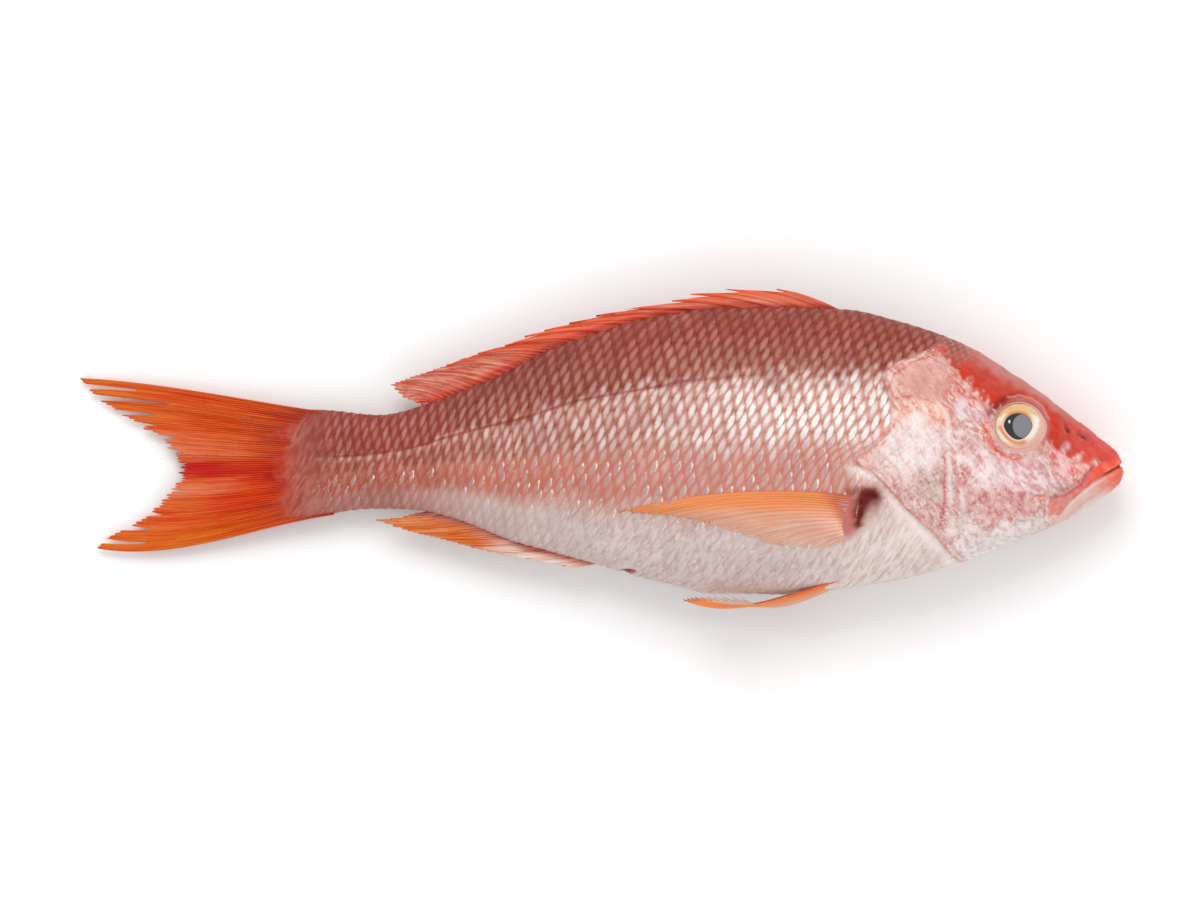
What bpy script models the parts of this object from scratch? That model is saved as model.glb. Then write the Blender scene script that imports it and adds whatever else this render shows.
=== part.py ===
"""A whole raw fish of the snapper kind, lying on its left side with its right side up.

Head, trunk and fins are one solid. Each eye is a solid of its own in a socket of the head.
Sizes are in millimetres until the meshes are made. A place on the fish is given by its
station, counted back from the tip of the lower jaw, and by its height above the fish's axis,
measured up towards the back. The finished model has the head at +X, the back at +Y and the
upper flank at +Z, with its origin at the middle of the bottom of its box.
"""

import math
import random

import bmesh
import bpy
import numpy as np

MM = 0.001
SEED = 7

# Outline of head and trunk seen from the side, without fins: (station, height).
BACK_LINE = [
    (0.0, -9.0), (1.1, -5.6), (2.5, -1.8), (4.3, 0.2), (9.7, 4.3), (16.9, 9.7), (24.1, 15.1),
    (38.5, 25.9), (52.9, 34.7), (67.3, 41.0), (81.7, 45.8), (99.7, 49.6), (122.4, 50.9),
    (147.6, 50.2), (167.8, 47.6), (187.9, 42.6), (208.4, 35.4), (228.6, 25.2), (250.9, 16.2),
    (270.0, 11.6), (290.0, 13.6), (330.0, 17.0),
]
BELLY_LINE = [
    (0.0, -9.0), (1.1, -12.0), (2.5, -13.9), (6.1, -16.9), (16.9, -23.8), (31.3, -31.0),
    (45.7, -36.2), (60.1, -41.6), (81.7, -47.4), (103.3, -51.2), (132.1, -53.0),
    (148.0, -52.6), (168.1, -48.4), (189.7, -42.4), (218.5, -34.4), (240.1, -26.4),
    (254.5, -22.9), (270.0, -21.7), (290.0, -24.8), (330.0, -33.0),
]

# Half the thickness of head and trunk, and the height above the floor of its middle plane.
HALF_WIDTH = [
    (0.0, 1.0), (1.1, 3.2), (2.5, 4.8), (6.0, 7.0), (12.0, 9.6), (20.0, 12.6), (30.0, 15.6),
    (45.0, 19.0), (60.0, 21.6), (80.0, 23.5), (105.0, 24.2), (130.0, 23.8), (155.0, 21.8),
    (180.0, 18.4), (205.0, 14.6), (230.0, 10.8), (250.0, 8.2), (270.0, 6.2), (288.0, 4.4),
    (304.0, 2.8), (318.0, 1.4), (330.0, 0.5),
]
MIDDLE_PLANE = [
    (0.0, 18.9), (30.0, 20.6), (70.0, 22.0), (110.0, 22.2), (150.0, 21.6), (185.0, 19.0),
    (220.0, 15.6), (255.0, 12.6), (290.0, 9.6), (330.0, 6.0), (380.0, 2.0),
]
WIDEST_SHARE = 0.56
BACK_FULLNESS = 1.85
BELLY_FULLNESS = 2.15

# Rings of the body: their spacing over station, and the points round each.
RING_SPACING = [(0.0, 0.35), (2.0, 0.8), (6.0, 1.8), (25.0, 2.6), (100.0, 2.8),
                (130.0, 8.0), (328.0, 8.0)]
BODY_START = 0.1
BODY_END = 328.0
BODY_SIDES = 38

# Eye: a flattened ball in a socket, its middle seen from the side, and its half sizes.
EYE_STATION = 38.9
EYE_HEIGHT = 7.6
EYE_HALF_LENGTH = 9.4
EYE_HALF_HEIGHT = 8.7
EYE_HALF_DEPTH = 5.0
EYE_PROUD = 2.3
SOCKET_GAP = 0.3
EYE_SEGMENTS = 20
EYE_RINGS = 10

# Relief of the head: the gill cover's free edge and the fold in front of it, as station
# over height, the mouth slit and the groove above the jaw plate, as height over station.
# A pair gives where a feature begins to rise or fade and where it has done so.
GILL_EDGE = [
    (-47.0, 52.0), (-43.0, 57.5), (-38.5, 63.0), (-30.5, 70.0), (-22.5, 79.0), (-12.5, 88.0),
    (-8.5, 92.5), (-5.0, 98.0), (-1.0, 93.5), (2.5, 87.5), (12.0, 85.0), (26.0, 86.0), (40.0, 80.0),
]
GILL_STEP = 1.5
GILL_LIP = (-0.5, 0.5)
GILL_FADE = (2.0, 14.0)
GILL_TOP = (2.0, 12.0)
GILL_FOOT = (-43.0, -34.0)
GILL_BEND_MIDDLE = 82.0
GILL_BEND_REACH = 28.0
GILL_BEND_MOST = 15.0
CHEEK_FOLD_STATION = 64.0
CHEEK_FOLD_TOP = (2.0, 6.0)
CHEEK_FOLD_FOOT = (-27.0, -24.0)
CHEEK_FOLD_DEPTH = 0.5
CHEEK_FOLD_WIDTH = 1.8
MOUTH_SLIT = [(0.0, -6.0), (2.5, -7.2), (9.7, -11.2), (18.7, -18.0), (22.3, -22.7), (24.0, -25.0)]
MOUTH_END = (20.5, 22.5)
MOUTH_DEPTH = 1.3
MOUTH_WIDTH = 1.9
JAW_GROOVE = [(9.0, -5.0), (13.0, -8.6), (18.7, -13.7), (27.0, -19.0), (29.0, -23.5)]
JAW_GROOVE_START = (9.0, 13.0)
JAW_GROOVE_END = (27.0, 29.0)
JAW_GROOVE_DEPTH = 0.7
JAW_GROOVE_WIDTH = 1.3
ORBIT_RIM = 0.7
ORBIT_RADIUS = 11.2
ORBIT_WIDTH = 2.2

# Back fin, folded down: the stations where its rays leave the back, and the rays' tips.
BACK_FIN_FIRST = 97.0
BACK_FIN_PITCH = 10.5
BACK_FIN_SPINES = [
    (125.6, 57.2), (144.0, 57.2), (156.6, 55.4), (163.4, 53.0), (180.7, 49.9), (190.8, 47.6),
    (200.5, 44.9), (209.5, 42.3), (216.7, 40.1), (223.9, 37.0), (233.6, 34.0),
]
BACK_FIN_SOFT_ROOTS = [212.0, 220.0, 228.0, 235.0, 241.0, 246.0, 250.0]
BACK_FIN_SOFT_TIPS = [
    (240.1, 31.7), (247.3, 29.0), (254.5, 26.6), (259.9, 24.8), (265.3, 22.8), (261.0, 18.4),
    (253.7, 15.4),
]
BACK_FIN_BOW = 1.8

# Vent fin, folded back in the same way.
VENT_FIN_ROOTS = [186.0, 196.0, 203.0, 209.0, 215.0, 221.0, 227.0, 233.0, 239.0, 244.0, 248.0]
VENT_FIN_TIPS = [
    (203.0, -42.8), (216.0, -40.3), (227.0, -38.2), (236.0, -36.0), (243.0, -34.0),
    (249.0, -32.4), (255.0, -31.0), (261.0, -29.5), (270.5, -26.3), (262.5, -25.6),
    (256.5, -23.9),
]
VENT_FIN_BOW = -1.0

# Tail fin: its rays spread from a nearly straight root to a forked, ragged rear edge, which
# is given as station over height, from the upper tip to the lower.
TAIL_ROOT_STATION = 288.0
TAIL_ROOT_TOP = 12.6
TAIL_ROOT_FOOT = -24.4
TAIL_TIP_TOP = 25.4
TAIL_TIP_FOOT = -36.6
TAIL_EDGE = [
    (-36.6, 372.6), (-33.8, 370.5), (-29.2, 362.8), (-25.9, 356.5), (-18.4, 349.0),
    (-11.2, 343.2), (-5.8, 343.0), (-2.2, 345.5), (4.0, 351.0), (10.1, 361.4), (16.2, 370.1),
    (20.9, 376.0), (25.4, 379.0),
]
TAIL_RAYS = 21
TAIL_RAGGED = 1.4
TAIL_UPPER_BOW = 1.2
TAIL_LOWER_BOW = -4.1
TAIL_BOW_FADE = 4
TAIL_RAY_HALF = (1.5, 0.5)

# Breast fin, lying back on the flank: roots and tips of its rays, from upper to lower. Under
# the fish a ray's middle stays at a least height, so that the flank and not the fin is lowest.
BREAST_FIN_ROOTS = [(96.5, -17.6), (98.5, -31.5)]
BREAST_FIN_TIPS = [
    (183.2, -23.2), (175.3, -23.9), (167.8, -24.3), (156.6, -25.8), (148.7, -28.4),
    (138.2, -31.4), (127.4, -35.0), (115.0, -36.4), (106.5, -35.6),
]
BREAST_FIN_RAYS = 9
BREAST_FIN_BOW = 4.6
BREAST_RAY_HALF = (1.15, 1.15)
BREAST_RAY_LOWEST = 1.25

# Belly fin, folded back along the belly: (station, height, distance from the middle plane).
BELLY_FIN_ROOTS = [(93.0, -42.5, 9.0), (93.0, -45.0, 3.0)]
BELLY_FIN_TIPS = [
    (159.2, -55.0, 7.5), (155.0, -54.2, 5.5), (148.0, -54.0, 4.0), (138.0, -54.4, 2.6),
]
BELLY_FIN_RAYS = 5
BELLY_FIN_BOW = -5.6

# Half the thickness of the fins at a ray's root and tip, and the membrane's share of it.
RAY_HALF = (1.25, 0.55)
WEB_SHARE = 0.55
WEB_NOTCH = 0.045
FIN_ROOT_DEPTH = 3.0

# Points along a ray of each fin, less one.
BACK_FIN_STEPS = 4
VENT_FIN_STEPS = 3
TAIL_STEPS = 6
BREAST_FIN_STEPS = 5
BELLY_FIN_STEPS = 4

# Finish: colour and roughness of the skin and the eyes, and the angle past which an edge is sharp.
SKIN_COLOUR = (0.50, 0.25, 0.21)
SKIN_ROUGHNESS = 0.35
EYE_COLOUR = (0.75, 0.63, 0.52)
EYE_ROUGHNESS = 0.15
SHARP_ANGLE = 40.0


def curve(points):
    """A smooth function through the points, which never swings past them."""
    xs, ys = np.array(points, float).T
    steps = np.diff(xs)
    slopes = np.diff(ys) / steps
    tangents = np.concatenate([slopes[:1], np.zeros(len(xs) - 2), slopes[-1:]])
    for i in range(1, len(xs) - 1):
        if slopes[i - 1] * slopes[i] > 0:
            tangents[i] = 2 * slopes[i - 1] * slopes[i] / (slopes[i - 1] + slopes[i])

    def at(x):
        x = np.clip(x, xs[0], xs[-1])
        i = np.clip(np.searchsorted(xs, x) - 1, 0, len(xs) - 2)
        t = (x - xs[i]) / steps[i]
        rise = t * t * (3 - 2 * t)
        start = t * (1 - t) ** 2 * steps[i] * tangents[i]
        end = t * t * (t - 1) * steps[i] * tangents[i + 1]
        return ys[i] * (1 - rise) + ys[i + 1] * rise + start + end

    return at


def along(points):
    """A smooth path through the points as a function of a share from 0 to 1."""
    shares = np.linspace(0, 1, len(points))
    axes = [curve(list(zip(shares, column))) for column in zip(*points)]
    return lambda share: np.array([axis(share) for axis in axes])


back_line = curve(BACK_LINE)
belly_line = curve(BELLY_LINE)
half_width = curve(HALF_WIDTH)
middle_plane = curve(MIDDLE_PLANE)
gill_edge = curve(GILL_EDGE)
mouth_slit = curve(MOUTH_SLIT)
jaw_groove = curve(JAW_GROOVE)
tail_edge = curve(TAIL_EDGE)


def rise(value, span):
    """0 below a span, 1 above it, and a smooth rise within it."""
    low, high = span
    share = np.clip((value - low) / (high - low), 0, 1)
    return share * share * (3 - 2 * share)


def ridge(distance, width):
    """A soft ridge of height 1 at distance 0."""
    return np.exp(-((distance / width) ** 2))


def widest_height(station):
    """Height of the body's widest level."""
    return belly_line(station) + WIDEST_SHARE * (back_line(station) - belly_line(station))


def flank(station, height):
    """Distance of the plain flank from the middle plane at a place seen from the side."""
    middle = widest_height(station)
    upper = np.clip((height - middle) / (back_line(station) - middle), 0, 1)
    lower = np.clip((middle - height) / (middle - belly_line(station)), 0, 1)
    above = (1 - upper**BACK_FULLNESS) ** (1 / BACK_FULLNESS)
    below = (1 - lower**BELLY_FULLNESS) ** (1 / BELLY_FULLNESS)
    return half_width(station) * np.where(height > middle, above, below)


def section(station, angle):
    """Height and side distance of the plain body; angle 0 is the back, a half turn the belly."""
    middle = widest_height(station)
    up = np.cos(angle)
    out = np.sin(angle)
    upper = up > 0
    fullness = np.where(upper, BACK_FULLNESS, BELLY_FULLNESS)
    reach = np.where(upper, back_line(station) - middle, middle - belly_line(station))
    height = middle + np.sign(up) * reach * np.abs(up) ** (2 / fullness)
    side = half_width(station) * np.sign(out) * np.abs(out) ** (2 / fullness)
    return height, side


def relief(station, height):
    """How far the skin stands out from the plain body, at a place seen from the side."""
    ahead = gill_edge(height) - station
    covered = rise(ahead, GILL_LIP) - rise(ahead, GILL_FADE)
    gill_span = rise(height, GILL_FOOT) - rise(height, GILL_TOP)
    gill = GILL_STEP * covered * gill_span
    fold_span = rise(height, CHEEK_FOLD_FOOT) - rise(height, CHEEK_FOLD_TOP)
    fold = CHEEK_FOLD_DEPTH * fold_span * ridge(station - CHEEK_FOLD_STATION, CHEEK_FOLD_WIDTH)
    slit_span = 1 - rise(station, MOUTH_END)
    slit = MOUTH_DEPTH * slit_span * ridge(height - mouth_slit(station), MOUTH_WIDTH)
    groove_span = rise(station, JAW_GROOVE_START) - rise(station, JAW_GROOVE_END)
    groove = JAW_GROOVE_DEPTH * groove_span * ridge(height - jaw_groove(station), JAW_GROOVE_WIDTH)
    from_eye = np.hypot(station - EYE_STATION, height - EYE_HEIGHT)
    rim = ORBIT_RIM * ridge(from_eye - ORBIT_RADIUS, ORBIT_WIDTH)
    return gill + rim - fold - slit - groove


def new_object(name, points, faces):
    """An object from points in millimetres, with its faces turned outwards."""
    mesh = bpy.data.meshes.new(name)
    mesh.from_pydata([tuple(MM * c for c in point) for point in points], [], faces)
    bm = bmesh.new()
    bm.from_mesh(mesh)
    bmesh.ops.recalc_face_normals(bm, faces=bm.faces)
    bmesh.ops.triangulate(bm, faces=bm.faces)
    bm.to_mesh(mesh)
    bm.free()
    obj = bpy.data.objects.new(name, mesh)
    bpy.context.scene.collection.objects.link(obj)
    return obj


def normals_of(grid):
    """Outward unit normals of a grid of points that closes round its second direction."""
    lengthwise = np.gradient(grid, axis=0)
    around = np.roll(grid, -1, axis=1) - np.roll(grid, 1, axis=1)
    normals = np.cross(lengthwise, around)
    return normals / np.maximum(np.linalg.norm(normals, axis=2, keepdims=True), 1e-9)


def body_stations():
    """Stations of the body's rings: close at the jaw and the gill cover, wider along the trunk."""
    spacing = curve(RING_SPACING)
    stations = [BODY_START]
    while stations[-1] < BODY_END:
        stations.append(stations[-1] + float(spacing(stations[-1])))
    return np.array(stations)


def body_grid():
    """Points of the body's skin, ring by ring, bent so that rings follow the gill cover's edge."""
    angles = np.linspace(0, 2 * math.pi, BODY_SIDES, endpoint=False)
    stations, angles = np.meshgrid(body_stations(), angles, indexing="ij")
    height, _ = section(stations, angles)
    bend = np.clip(gill_edge(height) - GILL_BEND_MIDDLE, -GILL_BEND_MOST, GILL_BEND_MOST)
    stations = stations + bend * ridge(stations - GILL_BEND_MIDDLE, GILL_BEND_REACH)
    height, side = section(stations, angles)
    grid = np.stack([-stations, height, side], axis=2)
    grid += normals_of(grid) * relief(stations, height)[:, :, None]
    grid[:, :, 2] = np.maximum(grid[:, :, 2] + middle_plane(stations), 0.0)
    return grid


def body():
    """Head and trunk as one closed skin."""
    grid = body_grid()
    rings, sides = grid.shape[:2]
    points = list(grid.reshape(-1, 3))
    faces = []
    for ring in range(rings - 1):
        for k in range(sides):
            here = ring * sides
            after = (k + 1) % sides
            faces.append((here + k, here + after, here + sides + after, here + sides + k))
    for ring in (0, rings - 1):
        points.append(grid[ring].mean(axis=0))
        centre = len(points) - 1
        for k in range(sides):
            faces.append((ring * sides + k, ring * sides + (k + 1) % sides, centre))
    return new_object("body", points, faces)


def fin(name, rays, steps, half=RAY_HALF, turn=(0.0, 0.0, 1.0)):
    """A thin fin. Each ray is a function of the share of its length; membranes hang between.

    The membrane stops short of the rays' tips, so the free edge is ragged. Half is the half
    thickness of a ray at its root and tip, and turn is the direction of that thickness.
    """
    shares = np.linspace(0, 1, steps + 1)
    columns = []
    for index, ray in enumerate(rays):
        if index:
            before = rays[index - 1]
            reach = 1 - WEB_NOTCH
            columns.append((lambda t, a=before, b=ray: (a(reach * t) + b(reach * t)) / 2, WEB_SHARE))
        columns.append((ray, 1.0))
    turn = np.array(turn)
    points = []
    for side in (1, -1):
        for path, thick in columns:
            for t in shares:
                points.append(path(t) + side * thick * (half[0] * (1 - t) + half[1] * t) * turn)
    rows = steps + 1
    far = len(columns) * rows
    faces = []
    for c in range(len(columns) - 1):
        for r in range(steps):
            a = c * rows + r
            faces.append((a, a + 1, a + rows + 1, a + rows))
            faces.append((far + a, far + a + rows, far + a + rows + 1, far + a + 1))
    rim = [c * rows for c in range(len(columns))]
    rim += [(len(columns) - 1) * rows + r for r in range(1, rows)]
    rim += [c * rows + steps for c in range(len(columns) - 2, -1, -1)]
    rim += [r for r in range(steps - 1, 0, -1)]
    for here, after in zip(rim, rim[1:] + rim[:1]):
        faces.append((here, after, far + after, far + here))
    return new_object(name, points, faces)


def even_bow(t):
    """A bow that is fullest at a ray's middle."""
    return 4 * t * (1 - t)


def late_bow(t):
    """A bow that is fullest at two thirds of a ray."""
    return 27 / 4 * t * t * (1 - t)


def flat_ray(root, tip, bow, bend=even_bow):
    """A ray in the middle plane, bowed by an amount at its fullest."""
    root = np.array(root)
    tip = np.array(tip)

    def at(t):
        station, height = root + (tip - root) * t + np.array([0.0, bow * bend(t)])
        return np.array([-station, height, float(middle_plane(station))])

    return at


def back_fin():
    """The long fin of the back, spines first and soft rays behind, folded down."""
    spine_count = len(BACK_FIN_SPINES)
    roots = [BACK_FIN_FIRST + BACK_FIN_PITCH * i for i in range(spine_count)] + BACK_FIN_SOFT_ROOTS
    tips = BACK_FIN_SPINES + BACK_FIN_SOFT_TIPS
    rays = []
    for station, tip in zip(roots, tips):
        root = (station, float(back_line(station)) - FIN_ROOT_DEPTH)
        rays.append(flat_ray(root, tip, BACK_FIN_BOW))
    return fin("back_fin", rays, BACK_FIN_STEPS)


def vent_fin():
    """The short fin behind the vent, folded back."""
    rays = []
    for station, tip in zip(VENT_FIN_ROOTS, VENT_FIN_TIPS):
        root = (station, float(belly_line(station)) + FIN_ROOT_DEPTH)
        rays.append(flat_ray(root, tip, VENT_FIN_BOW))
    return fin("vent_fin", rays, VENT_FIN_STEPS)


def tail_fin():
    """The forked tail fin with its ragged rear edge."""
    draw = random.Random(SEED)
    rays = []
    for k in range(TAIL_RAYS):
        share = k / (TAIL_RAYS - 1)
        tip_height = TAIL_TIP_TOP + share * (TAIL_TIP_FOOT - TAIL_TIP_TOP)
        ragged = draw.uniform(-TAIL_RAGGED, TAIL_RAGGED / 2) * math.sin(math.pi * share)
        root_height = TAIL_ROOT_TOP + share * (TAIL_ROOT_FOOT - TAIL_ROOT_TOP)
        root = (TAIL_ROOT_STATION, root_height)
        tip = (float(tail_edge(tip_height)) + ragged, tip_height)
        bow = TAIL_UPPER_BOW * (1 - share) ** TAIL_BOW_FADE + TAIL_LOWER_BOW * share**TAIL_BOW_FADE
        rays.append(flat_ray(root, tip, bow, late_bow))
    return fin("tail_fin", rays, TAIL_STEPS, half=TAIL_RAY_HALF)


def breast_fin(name, side):
    """One breast fin, laid back on the flank; side is 1 for the upper flank, -1 for the lower."""
    roots = along(BREAST_FIN_ROOTS)
    tips = along(BREAST_FIN_TIPS)
    rays = []
    for k in range(BREAST_FIN_RAYS):
        share = k / (BREAST_FIN_RAYS - 1)

        def at(t, root=roots(share), tip=tips(share), bow=BREAST_FIN_BOW * (1 - share)):
            station, height = root + (tip - root) * t
            height = height + bow * even_bow(t)
            level = float(middle_plane(station) + side * flank(station, height))
            return np.array([-station, height, max(level, BREAST_RAY_LOWEST)])

        rays.append(at)
    return fin(name, rays, BREAST_FIN_STEPS, half=BREAST_RAY_HALF)


def belly_fin(name, side):
    """One belly fin, a narrow blade folded back under the belly."""
    roots = along(BELLY_FIN_ROOTS)
    tips = along(BELLY_FIN_TIPS)
    rays = []
    for k in range(BELLY_FIN_RAYS):
        share = k / (BELLY_FIN_RAYS - 1)

        def at(t, root=roots(share), tip=tips(share)):
            station, height, out = root + (tip - root) * t
            height = height + BELLY_FIN_BOW * late_bow(t)
            return np.array([-station, height, float(middle_plane(station)) + side * out])

        rays.append(at)
    return fin(name, rays, BELLY_FIN_STEPS, turn=(0.0, 1.0, 0.0))


def eye_ball(name, side, grow):
    """A flattened ball in the head's side; grow is added to each of its half sizes."""
    out = float(flank(EYE_STATION, EYE_HEIGHT)) + EYE_PROUD - EYE_HALF_DEPTH
    centre = (-EYE_STATION, EYE_HEIGHT, float(middle_plane(EYE_STATION)) + side * out)
    half_sizes = (EYE_HALF_LENGTH + grow, EYE_HALF_HEIGHT + grow, EYE_HALF_DEPTH + grow)
    mesh = bpy.data.meshes.new(name)
    bm = bmesh.new()
    bmesh.ops.create_uvsphere(bm, u_segments=EYE_SEGMENTS, v_segments=EYE_RINGS, radius=1.0)
    for vert in bm.verts:
        vert.co = [MM * (c + r * v) for c, r, v in zip(centre, half_sizes, vert.co)]
    bmesh.ops.triangulate(bm, faces=bm.faces)
    bm.to_mesh(mesh)
    bm.free()
    obj = bpy.data.objects.new(name, mesh)
    bpy.context.scene.collection.objects.link(obj)
    return obj


def boolean(obj, helpers, operation):
    """Joins helpers to an object or cuts them from it, and removes them."""
    group = bpy.data.collections.new(operation.lower())
    bpy.context.scene.collection.children.link(group)
    for helper in helpers:
        bpy.context.scene.collection.objects.unlink(helper)
        group.objects.link(helper)
        helper.hide_render = True
        helper.display_type = "WIRE"
    modifier = obj.modifiers.new(operation.lower(), "BOOLEAN")
    modifier.operation = operation
    modifier.operand_type = "COLLECTION"
    modifier.collection = group
    modifier.solver = "EXACT"
    bpy.context.view_layer.objects.active = obj
    bpy.ops.object.modifier_apply(modifier=modifier.name)
    for helper in helpers:
        bpy.data.objects.remove(helper)
    bpy.data.collections.remove(group)


def keep_outer_skin(obj):
    """Drops what is apart from the main skin: hollows that joining has sealed, and scraps."""
    bm = bmesh.new()
    bm.from_mesh(obj.data)
    waiting = set(bm.verts)
    islands = []
    while waiting:
        island = set()
        front = [waiting.pop()]
        while front:
            vert = front.pop()
            island.add(vert)
            near = {edge.other_vert(vert) for edge in vert.link_edges} & waiting
            waiting -= near
            front.extend(near)
        islands.append(island)
    islands.sort(key=len)
    for island in islands[:-1]:
        bmesh.ops.delete(bm, geom=list(island), context="VERTS")
    bm.to_mesh(obj.data)
    bm.free()


def material(name, colour, roughness):
    """A plain finish with one colour."""
    mat = bpy.data.materials.new(name)
    mat.use_nodes = True
    shader = mat.node_tree.nodes["Principled BSDF"]
    shader.inputs["Base Color"].default_value = (*colour, 1.0)
    shader.inputs["Roughness"].default_value = roughness
    shader.inputs["Metallic"].default_value = 0.0
    return mat


def settle(objects):
    """Moves the meshes so that the origin is the middle of the bottom of their box."""
    points = np.array([vert.co[:] for obj in objects for vert in obj.data.vertices])
    low = points.min(axis=0)
    high = points.max(axis=0)
    shift = (-(low[0] + high[0]) / 2, -(low[1] + high[1]) / 2, -low[2])
    for obj in objects:
        for vert in obj.data.vertices:
            vert.co = [c + d for c, d in zip(vert.co, shift)]
        obj.data.shade_smooth()
        obj.data.set_sharp_from_angle(angle=math.radians(SHARP_ANGLE))


def main():
    for obj in list(bpy.data.objects):
        bpy.data.objects.remove(obj)
    fish = body()
    fins = [
        back_fin(), vent_fin(), tail_fin(),
        breast_fin("breast_fin_right", 1), breast_fin("breast_fin_left", -1),
        belly_fin("belly_fin_right", 1), belly_fin("belly_fin_left", -1),
    ]
    boolean(fish, fins, "UNION")
    keep_outer_skin(fish)
    sockets = [eye_ball("socket_right", 1, SOCKET_GAP), eye_ball("socket_left", -1, SOCKET_GAP)]
    boolean(fish, sockets, "DIFFERENCE")
    eyes = [eye_ball("eye_right", 1, 0.0), eye_ball("eye_left", -1, 0.0)]
    fish.data.materials.clear()
    fish.data.materials.append(material("skin", SKIN_COLOUR, SKIN_ROUGHNESS))
    for eye in eyes:
        eye.data.materials.append(material("eye", EYE_COLOUR, EYE_ROUGHNESS))
    settle([fish, *eyes])


main()
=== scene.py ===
"""Dresses a whole raw fish of the snapper kind: scaly skin, fins and eyes, and a plain stage.

The skin is one fine surface in four pieces, computed from the same lines as the solids. A place
on the fish is given by its station, counted back in millimetres from the tip of the lower jaw,
and by its height above the fish's axis, measured up towards the back.
"""

import math
import random

import bpy
import numpy as np
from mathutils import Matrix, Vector


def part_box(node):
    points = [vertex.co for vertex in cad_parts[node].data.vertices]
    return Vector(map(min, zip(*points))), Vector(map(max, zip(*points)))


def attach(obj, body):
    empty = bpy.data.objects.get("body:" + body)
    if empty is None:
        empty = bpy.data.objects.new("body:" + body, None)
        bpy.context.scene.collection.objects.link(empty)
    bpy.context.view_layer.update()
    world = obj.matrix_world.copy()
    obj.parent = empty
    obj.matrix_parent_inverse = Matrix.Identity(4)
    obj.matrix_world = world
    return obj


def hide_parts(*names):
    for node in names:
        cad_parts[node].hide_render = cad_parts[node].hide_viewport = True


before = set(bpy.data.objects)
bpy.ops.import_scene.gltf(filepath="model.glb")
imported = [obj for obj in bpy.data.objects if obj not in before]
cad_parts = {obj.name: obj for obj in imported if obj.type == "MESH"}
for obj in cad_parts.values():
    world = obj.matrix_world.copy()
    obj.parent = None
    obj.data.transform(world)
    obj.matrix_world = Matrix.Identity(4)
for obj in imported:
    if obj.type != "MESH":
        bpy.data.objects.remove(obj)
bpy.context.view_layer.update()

bl_info = {
    "name": "Whole Raw Fish",
    "version": (1, 0, 0),
    "blender": (4, 5, 0),
    "location": "3D View > Sidebar > Fish",
    "description": "Scaly skin, fins and eyes of a whole raw fish on a plain stage",
    "category": "Add Mesh",
}

MM = 0.001

# Outline of head and trunk seen from the side, without fins: (station, height).
BACK_LINE = [
    (0.0, -9.0), (1.1, -5.6), (2.5, -1.8), (4.3, 0.2), (9.7, 4.3), (16.9, 9.7), (24.1, 15.1),
    (38.5, 25.9), (52.9, 34.7), (67.3, 41.0), (81.7, 45.8), (99.7, 49.6), (122.4, 50.9),
    (147.6, 50.2), (167.8, 47.6), (187.9, 42.6), (208.4, 35.4), (228.6, 25.2), (250.9, 16.2),
    (270.0, 11.6), (290.0, 13.6), (330.0, 17.0),
]
BELLY_LINE = [
    (0.0, -9.0), (1.1, -12.0), (2.5, -13.9), (6.1, -16.9), (16.9, -23.8), (31.3, -31.0),
    (45.7, -36.2), (60.1, -41.6), (81.7, -47.4), (103.3, -51.2), (132.1, -53.0),
    (148.0, -52.6), (168.1, -48.4), (189.7, -42.4), (218.5, -34.4), (240.1, -26.4),
    (254.5, -22.9), (270.0, -21.7), (290.0, -24.8), (330.0, -33.0),
]
HALF_WIDTH = [
    (0.0, 1.0), (1.1, 3.2), (2.5, 4.8), (6.0, 7.0), (12.0, 9.6), (20.0, 12.6), (30.0, 15.6),
    (45.0, 19.0), (60.0, 21.6), (80.0, 23.5), (105.0, 24.2), (130.0, 23.8), (155.0, 21.8),
    (180.0, 18.4), (205.0, 14.6), (230.0, 10.8), (250.0, 8.2), (270.0, 6.2), (288.0, 4.4),
    (304.0, 2.8), (318.0, 1.4), (330.0, 0.5),
]
MIDDLE_PLANE = [
    (0.0, 18.9), (30.0, 20.6), (70.0, 22.0), (110.0, 22.2), (150.0, 21.6), (185.0, 19.0),
    (220.0, 15.6), (255.0, 12.6), (290.0, 9.6), (330.0, 6.0), (380.0, 2.0),
]

# Height of the widest level, as a share of the depth, and how full the section is past it.
WIDEST_SHARE = 0.56
BACK_FULLNESS = 1.85
BELLY_FULLNESS = 2.15

# Fine grid of the skin: spacing of its rings over station, points round each, and the
# stations at which it is parted into pieces.
RING_SPACING = [(0.0, 0.10), (2.0, 0.28), (6.0, 0.40), (100.0, 0.46), (130.0, 0.54), (328.0, 0.56)]
SKIN_START = 0.08
SKIN_END = 317.5
SKIN_SIDES = 440
SKIN_PARTS = {"skin_head": 66.0, "skin_shoulder": 136.0, "skin_flank": 230.0, "skin_stalk": 400.0}

# Eye: its middle seen from the side, and its half sizes.
EYE_STATION = 38.9
EYE_HEIGHT = 7.6
EYE_HALF_LENGTH = 9.4
EYE_HALF_HEIGHT = 8.7
EYE_HALF_DEPTH = 5.0
EYE_PROUD = 2.3

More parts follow.
